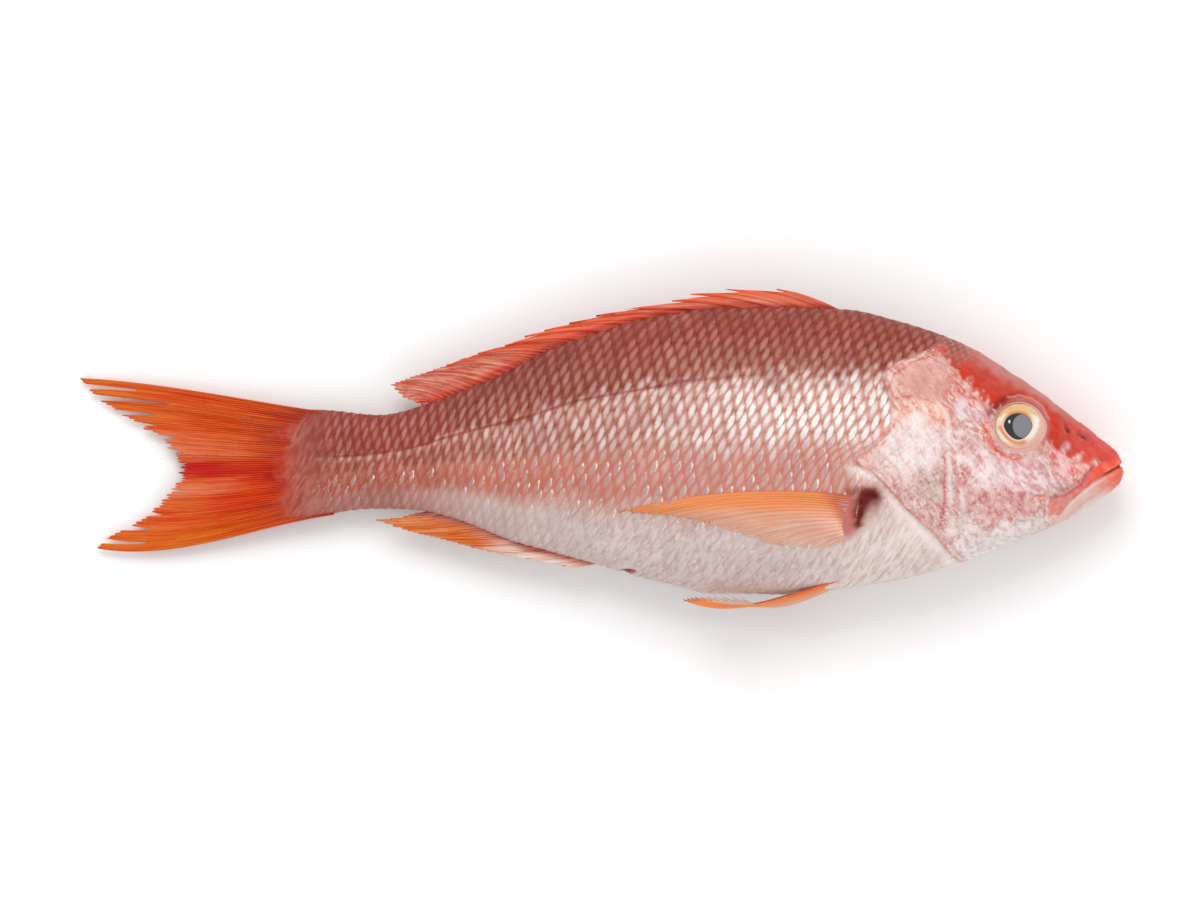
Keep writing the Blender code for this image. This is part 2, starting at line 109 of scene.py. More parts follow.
# Gill cover's free edge as station over height, and where scales begin above it.
GILL_EDGE = [
    (-47.0, 52.0), (-43.0, 57.5), (-38.5, 63.0), (-30.5, 70.0), (-22.5, 79.0), (-12.5, 88.0),
    (-8.5, 92.5), (-5.0, 98.0), (-1.0, 93.5), (2.5, 87.5), (12.0, 85.0), (26.0, 86.0), (40.0, 80.0),
]
SCALE_FRONT = [
    (-47.0, 52.0), (-43.0, 57.5), (-38.5, 63.0), (-30.5, 70.0), (-22.5, 79.0), (-12.5, 88.0),
    (-5.0, 98.0), (0.0, 92.0), (6.0, 86.0), (20.0, 85.0), (27.0, 87.0), (31.0, 80.0),
    (34.5, 73.0), (38.0, 67.0), (42.0, 62.0),
]
GILL_BEND_MIDDLE = 82.0
GILL_BEND_REACH = 28.0
GILL_BEND_MOST = 15.0
MOUTH_SLIT = [(0.0, -6.0), (2.5, -7.2), (9.7, -11.2), (18.7, -18.0), (22.3, -22.7), (24.0, -25.0)]
JAW_GROOVE = [(9.0, -5.0), (13.0, -8.6), (18.7, -13.7), (27.0, -19.0), (29.0, -23.5)]
SIDE_LINE = [
    (87.0, 26.6), (121.0, 26.2), (157.7, 24.1), (167.8, 22.0), (183.2, 19.4), (198.4, 16.6),
    (208.4, 13.3), (216.4, 10.8), (228.6, 7.9), (243.7, 4.0), (261.0, -0.7), (279.4, -2.9),
    (310.0, -4.0),
]

# Scales: length of one along the fish, over station, and how small the head's are.
SCALE_PITCH = [(0.0, 4.32), (190.0, 4.32), (240.0, 3.6), (330.0, 3.4)]
HEAD_SCALE_SHARE = 0.62

# Back fin, folded down: roots and tips of its rays.
BACK_FIN_FIRST = 97.0
BACK_FIN_PITCH = 10.5
BACK_FIN_SPINES = [
    (125.6, 57.2), (144.0, 57.2), (156.6, 55.4), (163.4, 53.0), (180.7, 49.9), (190.8, 47.6),
    (200.5, 44.9), (209.5, 42.3), (216.7, 40.1), (223.9, 37.0), (233.6, 34.0),
]
BACK_FIN_SOFT_ROOTS = [212.0, 220.0, 228.0, 235.0, 241.0, 246.0, 250.0]
BACK_FIN_SOFT_TIPS = [
    (240.1, 31.7), (247.3, 29.0), (254.5, 26.6), (259.9, 24.8), (265.3, 22.8), (261.0, 18.4),
    (253.7, 15.4),
]
BACK_FIN_BOW = 1.8

# Vent fin, folded back in the same way.
VENT_FIN_ROOTS = [186.0, 196.0, 203.0, 209.0, 215.0, 221.0, 227.0, 233.0, 239.0, 244.0, 248.0]
VENT_FIN_TIPS = [
    (203.0, -42.8), (216.0, -40.3), (227.0, -38.2), (236.0, -36.0), (243.0, -34.0),
    (249.0, -32.4), (255.0, -31.0), (261.0, -29.5), (270.5, -26.3), (262.5, -25.6),
    (256.5, -23.9),
]
VENT_FIN_BOW = -1.0
FIN_ROOT_DEPTH = 3.0

# Tail fin: a nearly straight root and a forked rear edge, given as station over height.
TAIL_ROOT_STATION = 286.0
TAIL_ROOT_TOP = 12.6
TAIL_ROOT_FOOT = -24.4
TAIL_TIP_TOP = 25.4
TAIL_TIP_FOOT = -36.6
TAIL_EDGE = [
    (-36.6, 372.6), (-33.8, 370.5), (-29.2, 362.8), (-25.9, 356.5), (-18.4, 349.0),
    (-11.2, 343.2), (-5.8, 343.0), (-2.2, 345.5), (4.0, 351.0), (10.1, 361.4), (16.2, 370.1),
    (20.9, 376.0), (25.4, 379.0),
]
TAIL_UPPER_BOW = 1.2
TAIL_LOWER_BOW = -4.1
TAIL_BOW_FADE = 4
TAIL_RAYS = 62

# Splits of the tail fin's rear edge: where across the fin, how deep and how wide, as shares.
TAIL_SPLITS = [
    (0.050, 0.20, 0.016), (0.115, 0.30, 0.019), (0.20, 0.16, 0.017), (0.27, 0.08, 0.014),
    (0.345, 0.10, 0.014), (0.43, 0.05, 0.010), (0.66, 0.03, 0.008), (0.80, 0.06, 0.010),
    (0.88, 0.12, 0.014), (0.955, 0.18, 0.014),
]

# Breast fin, lying back on the flank: roots and tips of its rays, from upper to lower.
BREAST_FIN_ROOTS = [(96.5, -17.6), (98.5, -31.5)]
BREAST_FIN_TIPS = [
    (183.2, -23.2), (175.3, -23.9), (167.8, -24.3), (156.6, -25.8), (148.7, -28.4),
    (138.2, -31.4), (127.4, -35.0), (115.0, -36.4), (106.5, -35.6),
]
BREAST_FIN_BOW = 4.6
BREAST_FIN_RAYS = 17
BREAST_FIN_LINES = 42

# Belly fin, folded back along the belly: (station, height, distance from the middle plane).
BELLY_FIN_ROOTS = [(90.0, -44.5, 9.0), (92.0, -46.0, 3.0)]
BELLY_FIN_TIPS = [
    (159.2, -55.0, 7.5), (155.0, -54.2, 5.5), (148.0, -54.0, 4.0), (138.0, -54.4, 2.6),
]
BELLY_FIN_BOW = -5.6
BELLY_FIN_RAYS = 9

# Thickness of each fin at its rays' roots, as a share of the panel's value.
BACK_FIN_THICKNESS = 1.3
TAIL_FIN_THICKNESS = 1.6
BREAST_FIN_THICKNESS = 0.45
BELLY_FIN_THICKNESS = 0.6
THICKNESS_LEVELS = 40

# Least level of a fin's middle above the floor.
TAIL_FIN_LOWEST = 0.6
BREAST_FIN_LOWEST = 0.4

# Squares of each fine grid, across and outward. Those of the back and vent fins are across
# one gap between rays.
BACK_FIN_GRID = (18, 40)
TAIL_FIN_GRID = (TAIL_RAYS * 7, 110)
BREAST_FIN_GRID = (170, 80)
BELLY_FIN_GRID = (72, 60)
EYE_LID_GRID = (160, 14)

# The floor's size, and the lamps: place, size, and share of the lamp power.
FLOOR_SIZE = 6.0
LAMPS = {
    "back_lamp": ((-0.15, 1.0, 1.35), 1.0, 1.0),
    "front_lamp": ((0.5, -1.2, 1.5), 1.4, 0.35),
}

# The camera looks straight down. Its picture's middle, and the level above the floor at which
# the picture's scale holds, are in millimetres.
MILLIMETRES_PER_PIXEL = 0.36
HALF_PICTURE_PIXELS = 600
PICTURE_LEVEL = 30
CAMERA_LENS = 200.0
CAMERA_SENSOR = 36.0
PICTURE_MIDDLE_X = 0.2
PICTURE_MIDDLE_Y = -0.4

# The stage's light makes a surface this much brighter, and the wet film adds this much white.
BRIGHTENING = 1.08
GLEAM = 0.02


def seen(red, green, blue):
    """Linear colour of a surface that looks like a screen colour of 0 to 255 on the stage."""
    values = (
        c / 12.92 if c <= 0.04045 else ((c + 0.055) / 1.055) ** 2.4
        for c in (red / 255, green / 255, blue / 255)
    )
    return tuple(max(0.0, (value - GLEAM) / BRIGHTENING) for value in values)


def tones(*screen):
    """A dark and a pale colour from the six numbers of two screen colours."""
    return seen(*screen[:3]), seen(*screen[3:])


# Shades of the trunk, each as a dark and a pale one: dark between the scales, pale on them.
# The dark is the borders' own pigment with painted shade where the scales overlap, the pale
# the scales' own silver with painted highlight.
# The back's dark shades: its own deeper red, partly painted shade.
BACK = tones(136, 62, 52, 174, 106, 94)
BACK_REAR = tones(130, 62, 56, 170, 112, 104)
UPPER = tones(142, 68, 54, 184, 130, 118)
UPPER_REAR = tones(140, 66, 52, 190, 136, 126)
# MIDDLE's near white pale is painted highlight: the glints of the silver scales below the side line.
MIDDLE = tones(213, 160, 146, 255, 251, 248)
MIDDLE_REAR = tones(166, 102, 86, 226, 200, 194)
LOWER = tones(200, 134, 120, 212, 184, 178)
LOWER_REAR = tones(186, 110, 92, 197, 148, 136)
BELLY = tones(194, 166, 160, 218, 205, 201)
BELLY_FRONT = tones(212, 184, 174, 244, 234, 228)
STALK_UPPER = tones(134, 58, 51, 176, 108, 98)
STALK_LOWER = tones(154, 82, 69, 190, 128, 114)
TAIL_SKIN = tones(156, 76, 66, 196, 130, 120)

# Single shades of the skin, and the factors that darken a scale's corners and a fin's lines.
SIDE_LINE_RED = seen(138, 46, 36)
VENT_RED = seen(150, 50, 44)
LATTICE_RED = seen(208, 114, 94)
RED_FLECK = seen(216, 84, 62)
# White of the flecks and of the painted glints: commas on the scales, sparks on the head and a highlight
# on the eye.
WHITE_FLECK_AND_GLINT = seen(255, 252, 248)
GREY_PATCH = seen(168, 152, 153)
SCALE_CORNER = (0.52, 0.36, 0.26)
FIN_LINE = (0.74, 0.50, 0.40)

# Shades of the head, each as the dark and the pale one of its mottling.
COVER = tones(200, 140, 132, 240, 212, 206)
# Bright pale of the gill cover: its own silvery white, partly painted highlight.
COVER_BRIGHT = tones(236, 200, 194, 254, 248, 246)
PLATE_BAND = tones(238, 212, 206, 254, 244, 240)
# Painted shade of the grooves: between the pale bands of the cover's plate, and just inside its free
# edge.
COVER_SHADE = tones(186, 138, 134, 214, 186, 182)
COVER_GREEN = tones(190, 138, 130, 214, 204, 188)
COVER_ORANGE = tones(226, 140, 112, 252, 230, 222)
NAPE = tones(212, 150, 140, 232, 188, 178)
NAPE_RED = tones(196, 96, 84, 214, 130, 118)
TEMPLE = tones(204, 110, 98, 236, 190, 182)
CROWN = tones(196, 72, 60, 212, 112, 103)
CROWN_BRIGHT = tones(206, 58, 38, 220, 84, 62)
CROWN_EDGE = tones(200, 124, 116, 230, 184, 176)
SNOUT = tones(216, 78, 68, 234, 144, 135)
SNOUT_SIDE = tones(228, 116, 106, 246, 206, 202)
CHEEK = tones(222, 164, 164, 255, 246, 246)
CHEEK_LOW = tones(202, 122, 122, 240, 200, 194)
PLATE = tones(204, 150, 146, 245, 232, 224)
THROAT = tones(220, 200, 196, 253, 248, 244)
CHIN = tones(238, 214, 208, 247, 230, 224)
UPPER_LIP = tones(236, 90, 70, 248, 126, 108)
JAW_PLATE = tones(226, 128, 112, 242, 188, 176)
LIP_PALE = tones(238, 194, 184, 247, 218, 210)
LID_FOLD = tones(222, 152, 140, 240, 190, 178)
LID_SKIN = tones(188, 112, 104, 216, 152, 142)
LOWER_LIP = tones(240, 132, 110, 242, 172, 158)
GILL_MARGIN = tones(248, 232, 225, 255, 254, 250)
LOBE = tones(198, 116, 112, 224, 166, 164)
# Painted shade of the hollow ahead of the breast fin, and of its softer edge.
AXIL_SHADE = tones(104, 32, 16, 132, 54, 36)
AXIL_EDGE_SHADE = tones(152, 66, 46, 180, 98, 80)
LILAC = tones(206, 190, 204, 244, 240, 246)
STRIP = tones(150, 76, 64, 196, 140, 130)
EYE_SHADE = tones(112, 34, 34, 150, 62, 58)
EYE_CRESCENT = tones(206, 70, 46, 226, 104, 74)
MAGENTA = tones(198, 66, 84, 214, 110, 116)
PLUM = tones(168, 96, 110, 196, 130, 138)
ORANGE_LINE = tones(220, 100, 66, 232, 140, 104)
# Painted shade inside the nostrils and the mouth's slit.
SLIT_SHADE = tones(120, 36, 30, 140, 48, 40)

# Direction, in degrees, and length of the fine strokes that mottle the skin.
STROKE_TURN = -52.0
STROKE_LENGTH = 2.3

# Shades of the fins, each as that of the membrane and that of the rays.
TAIL_ORANGE = tones(230, 116, 62, 212, 78, 20)
TAIL_GOLD = tones(230, 128, 48, 214, 92, 8)
TAIL_RED = tones(206, 40, 22, 184, 10, 0)
TAIL_FLAME = tones(228, 90, 42, 214, 56, 6)
TAIL_PALE = tones(234, 146, 112, 222, 104, 66)
TAIL_ROOT = tones(204, 88, 70, 192, 64, 46)
BACK_FIN = tones(238, 120, 98, 222, 88, 64)
BACK_FIN_FRONT = tones(236, 148, 124, 224, 110, 84)
BACK_FIN_EDGE = tones(238, 124, 92, 228, 88, 50)
BACK_FIN_FOOT = tones(208, 88, 76, 192, 74, 60)
BACK_FIN_SOFT = tones(232, 162, 144, 202, 96, 76)
VENT_FIN = tones(234, 152, 104, 218, 110, 48)
VENT_FIN_FRONT = tones(248, 228, 220, 240, 200, 186)
VENT_FIN_FOOT = tones(212, 142, 124, 198, 112, 92)
BREAST_FIN = tones(244, 166, 112, 238, 140, 82)
BREAST_FIN_LOW = tones(254, 212, 190, 248, 181, 155)
BREAST_FIN_ROOT = tones(218, 134, 106, 208, 112, 86)
BELLY_FIN_ROOT = tones(240, 128, 84, 226, 98, 56)
BELLY_FIN = tones(250, 162, 106, 246, 140, 74)
BELLY_FIN_PALE = tones(230, 206, 198, 226, 190, 176)

# Shades of the eyes.
IRIS_IVORY = seen(246, 236, 216)
IRIS_GOLD = seen(228, 172, 92)
IRIS_ORANGE = seen(224, 128, 74)
IRIS_RIM = seen(190, 154, 120)
IRIS_PINK = seen(228, 182, 166)
PUPIL_BLACK = seen(40, 40, 42)
# Grey of the painted reflection in the pupil.
PUPIL_REFLECTION = seen(128, 128, 136)
LID_PINK = seen(222, 162, 148)
LID_PALE = seen(242, 212, 200)
# Painted shade of the fold at the lid's inner edge.
LID_FOLD_SHADE = seen(150, 74, 66)

# Single places on the skin: middle, half sizes, and tilt where it has one.
VENT_PLACE = ((179.3, -44.6), (3.0, 0.9))
NAPE_PLACE = ((73.0, 24.0), (11.0, 8.0))
BROW_PLACE = ((27.0, 6.0), (3.0, 6.5), -10)
AXIL_DIP = ((93.8, -21.6), (4.0, 6.0), 25)
AXIL_SURROUND = ((94.2, -21.4), (5.0, 8.5), 25)
LOBE_SWELL = ((99.0, -25.0), (3.6, 7.2), 10)
LOBE_PLACE = ((100.6, -25.0), (3.8, 7.4), 10)
LOBE_SURROUND = ((99.6, -25.5), (5.0, 8.5), 10)

# Slope of the line past the eye below which its orange crescent shows.
CRESCENT_SLOPE = 0.5

# The hollow ahead of the breast fin, painted dark as shade: its upper rim, and its depth along
# the lobe.
AXIL_TOP = [(91.6, -16.2), (96.0, -15.6), (100.8, -15.9)]
AXIL_SIDE = [(92.2, -17.2), (94.6, -19.4), (96.0, -22.6), (96.9, -26.6)]

# Nostrils, the end of the jaw plate, and the grooves of the head's plates.
JAW_END = [(29.5, -20.9), (29.2, -25.2)]
REAR_NOSTRIL = [(21.5, 7.6), (20.3, 5.8)]
FRONT_NOSTRIL = [(16.6, 4.9), (13.6, 3.2)]
PLATE_LINES = [
    [(65.9, -9.0), (65.9, -22.7), (68.4, -28.4)],
    [(70.9, -18.7), (65.9, -22.7), (61.6, -20.2)],
    [(61.2, 12.0), (61.2, -20.2)],
    [(68.0, 20.0), (66.4, 8.0), (65.9, -9.0)],
]

# Lower limit of the red crown, as height over station.
CROWN_LIMIT = [
    (0.0, -7.0), (9.0, -6.5), (14.3, -4.6), (20.0, -1.8), (28.7, 1.2), (33.0, 6.0), (44.0, 12.0),
    (49.0, 15.8), (53.0, 18.5), (56.0, 23.5), (60.5, 26.0), (63.0, 30.0), (69.0, 38.0), (73.0, 46.0),
]

# Zones, lines and marks of the head, each with its shades and strength. A zone or mark has
# its middle, half sizes and tilt, a line its points and width.
HEAD_ZONES = [
    ((72.0, 24.0), (12.0, 9.0), 0, NAPE, 1.0),
    ((57.0, 19.0), (9.0, 7.0), 20, TEMPLE, 1.0),
    ((73.0, 11.5), (10.0, 6.0), 0, COVER_ORANGE, 1.0),
    # The cover's bright middle: partly painted highlight.
    ((78.0, 0.0), (13.0, 10.0), 0, COVER_BRIGHT, 1.0),
    ((71.0, -14.0), (6.0, 7.0), 15, COVER_GREEN, 0.8),
    ((42.0, -10.0), (17.0, 9.0), 10, CHEEK, 1.0),
    ((46.0, -20.5), (16.0, 6.0), 0, CHEEK_LOW, 1.0),
    ((20.0, -5.0), (11.0, 6.5), 35, SNOUT_SIDE, 1.0),
    ((59.0, -28.0), (8.0, 6.0), 0, PLATE, 1.0),
]
HEAD_LINES = [
    ([(65.9, -2.0), (65.9, -22.7), (68.4, -28.4)], 0.55, MAGENTA, 0.8),
    ([(70.9, -18.7), (65.9, -22.7), (61.6, -20.2)], 0.55, MAGENTA, 0.8),
    ([(61.2, -6.0), (61.0, -22.0)], 0.6, MAGENTA, 0.45),
    ([(64.8, 10.0), (64.4, -4.0), (63.6, -21.0)], 0.9, PLATE_BAND, 0.65),
    ([(61.6, 2.0), (60.6, -10.0), (58.8, -24.0)], 0.7, PLATE_BAND, 0.6),
    # Painted shade in the groove between the two pale bands.
    ([(63.0, 0.0), (62.4, -10.0), (61.2, -23.0)], 0.6, COVER_SHADE, 0.75),
    ([(42.8, 18.0), (38.8, 18.7), (34.2, 17.3), (30.7, 14.5), (28.2, 10.4)], 0.5, LID_FOLD, 0.6),
    ([(46.3, -0.6), (41.7, -2.9), (37.1, -3.3), (32.4, -1.0)], 0.5, LID_FOLD, 0.7),
    ([(12.8, -8.2), (16.6, -13.3), (21.9, -17.1), (27.2, -17.9), (34.8, -16.7)], 0.5, PLUM, 0.85),
    ([(29.4, -20.6), (29.2, -25.6)], 0.35, MAGENTA, 0.7),
    ([(69.6, 32.9), (77.9, 30.6), (84.0, 26.1), (85.9, 21.5), (84.0, 17.7), (77.9, 18.5)],
     0.4, NAPE_RED, 0.8),
    ([(84.0, 17.7), (81.0, 14.5), (84.6, 8.0), (89.0, 3.0)], 0.7, ORANGE_LINE, 0.55),
    # Nostrils: painted shade in their openings, the front one inside a plum rim.
    ([(21.2, 7.0), (20.4, 6.2)], 0.55, SLIT_SHADE, 0.9),
    ([(16.2, 4.6), (13.8, 3.4)], 1.0, PLUM, 0.7),
    ([(15.4, 4.2), (14.4, 3.7)], 0.35, SLIT_SHADE, 0.8),
]
HEAD_MARKS = [
    ((59.4, -11.0), (1.7, 4.2), 0, MAGENTA, 0.6),
    ((56.5, -29.2), (3.4, 1.8), 0, COVER_BRIGHT, 0.9),
    ((92.5, -11.5), (4.6, 3.4), -40, COVER_BRIGHT, 0.9),
    ((31.0, -18.2), (4.2, 1.2), 0, ORANGE_LINE, 0.8),
    ((59.5, 14.0), (2.8, 4.2), -15, LILAC, 0.6),
    ((54.0, 11.6), (2.4, 3.0), -30, LILAC, 0.35),
    ((22.0, 0.6), (2.4, 1.6), -30, LILAC, 0.35),
    ((67.3, 35.0), (3.4, 2.6), 20, NAPE_RED, 0.8),
    ((66.6, 35.4), (1.8, 1.2), 30, CROWN_BRIGHT, 0.6),
]


def curve(points):
    """A smooth function through the points, which never swings past them."""
    xs, ys = np.array(points, float).T
    steps = np.diff(xs)
    slopes = np.diff(ys) / steps
    tangents = np.concatenate([slopes[:1], np.zeros(len(xs) - 2), slopes[-1:]])
    for i in range(1, len(xs) - 1):
        if slopes[i - 1] * slopes[i] > 0:
            tangents[i] = 2 * slopes[i - 1] * slopes[i] / (slopes[i - 1] + slopes[i])

    def at(x):
        x = np.clip(x, xs[0], xs[-1])
        i = np.clip(np.searchsorted(xs, x) - 1, 0, len(xs) - 2)
        t = (x - xs[i]) / steps[i]
        climb = t * t * (3 - 2 * t)
        start = t * (1 - t) ** 2 * steps[i] * tangents[i]
        end = t * t * (t - 1) * steps[i] * tangents[i + 1]
        return ys[i] * (1 - climb) + ys[i + 1] * climb + start + end

    return at


def along(points):
    """A smooth path through the points as a function of shares from 0 to 1."""
    shares = np.linspace(0, 1, len(points))
    axes = [curve(list(zip(shares, column))) for column in zip(*points)]
    return lambda share: [axis(share) for axis in axes]


back_line = curve(BACK_LINE)
belly_line = curve(BELLY_LINE)
half_width = curve(HALF_WIDTH)
middle_plane = curve(MIDDLE_PLANE)
gill_edge = curve(GILL_EDGE)
scale_front = curve(SCALE_FRONT)
mouth_slit = curve(MOUTH_SLIT)
jaw_groove = curve(JAW_GROOVE)
side_line = curve(SIDE_LINE)
tail_edge = curve(TAIL_EDGE)


def rise(value, low, high):
    """0 below low, 1 above high, and a smooth rise between them."""
    share = np.clip((value - low) / (high - low), 0, 1)
    return share * share * (3 - 2 * share)


def fall(value, low, high):
    """1 below low, 0 above high, and a smooth fall between them."""
    return 1 - rise(value, low, high)


def span(value, low, full, still, gone):
    """A smooth rise from low to full, and a smooth fall from still to gone."""
    return rise(value, low, full) - rise(value, still, gone)


def ridge(distance, width):
    """A soft ridge of height 1 at distance 0."""
    return np.exp(-((distance / width) ** 2))


def waves(x, y, seed):
    """Smooth uneven waves of about one unit's length, mostly between -1 and 1."""
    count = 7
    draw = random.Random(seed)
    total = np.zeros_like(x)
    for _ in range(count):
        angle = draw.uniform(0, 2 * math.pi)
        pace = draw.uniform(0.6, 1.7) * 2 * math.pi
        phase = draw.uniform(0, 2 * math.pi)
        total += np.sin(pace * (x * math.cos(angle) + y * math.sin(angle)) + phase)
    return total / math.sqrt(count)


def distance_to(points, station, height):
    """Distance from each place to a chain of straight stretches."""
    nearest = np.full(station.shape, np.inf)
    for (s0, h0), (s1, h1) in zip(points, points[1:]):
        reach = (s1 - s0) ** 2 + (h1 - h0) ** 2
        t = np.clip(((station - s0) * (s1 - s0) + (height - h0) * (h1 - h0)) / reach, 0, 1)
        gap = np.hypot(station - s0 - t * (s1 - s0), height - h0 - t * (h1 - h0))
        nearest = np.minimum(nearest, gap)
    return nearest


def patch(station, height, middle, half, tilt=0.0):
    """A soft patch: 1 in its middle, fading out past its half length and half height."""
    turn = math.radians(tilt)
    s = station - middle[0]
    h = height - middle[1]
    across = (s * math.cos(turn) + h * math.sin(turn)) / half[0]
    up = (h * math.cos(turn) - s * math.sin(turn)) / half[1]
    return fall(np.hypot(across, up), 0.55, 1.35)


def widest_height(station):
    """Height of the body's widest level."""
    return belly_line(station) + WIDEST_SHARE * (back_line(station) - belly_line(station))


def flank(station, height):
    """Distance of the plain flank from the middle plane at a place seen from the side."""
    middle = widest_height(station)
    upper = np.clip((height - middle) / (back_line(station) - middle), 0, 1)
    lower = np.clip((middle - height) / (middle - belly_line(station)), 0, 1)
    above = (1 - upper**BACK_FULLNESS) ** (1 / BACK_FULLNESS)
    below = (1 - lower**BELLY_FULLNESS) ** (1 / BELLY_FULLNESS)
    return half_width(station) * np.where(height > middle, above, below)


def section(station, angle):
    """Height and side distance of the plain body; angle 0 is the back, a half turn the belly."""
    middle = widest_height(station)
    up = np.cos(angle)
    out = np.sin(angle)
    upper = up > 0
    fullness = np.where(upper, BACK_FULLNESS, BELLY_FULLNESS)
    reach = np.where(upper, back_line(station) - middle, middle - belly_line(station))
    height = middle + np.sign(up) * reach * np.abs(up) ** (2 / fullness)
    side = half_width(station) * np.sign(out) * np.abs(out) ** (2 / fullness)
    return height, side


# The frame gives the places of the eyes, and from them the fish's own axes in the world.
eye_low, eye_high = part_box("eye_right")
EYE_MIDDLE = (Vector(eye_low) + Vector(eye_high)) / 2
eye_level = float(middle_plane(EYE_STATION) + flank(EYE_STATION, EYE_HEIGHT))
JAW_X = EYE_MIDDLE.x + EYE_STATION * MM
AXIS_Y = EYE_MIDDLE.y - EYE_HEIGHT * MM
FLOOR_Z = EYE_MIDDLE.z - (eye_level + EYE_PROUD - EYE_HALF_DEPTH) * MM


def in_world(station, height, level):
    """World points in metres from stations, heights and levels above the floor."""
    return np.stack([JAW_X - station * MM, AXIS_Y + height * MM, FLOOR_Z + level * MM], axis=-1)


def eye_reach(station, height):
    """Distance from the eye's middle in half sizes of the eye."""
    return np.hypot((station - EYE_STATION) / EYE_HALF_LENGTH, (height - EYE_HEIGHT) / EYE_HALF_HEIGHT)


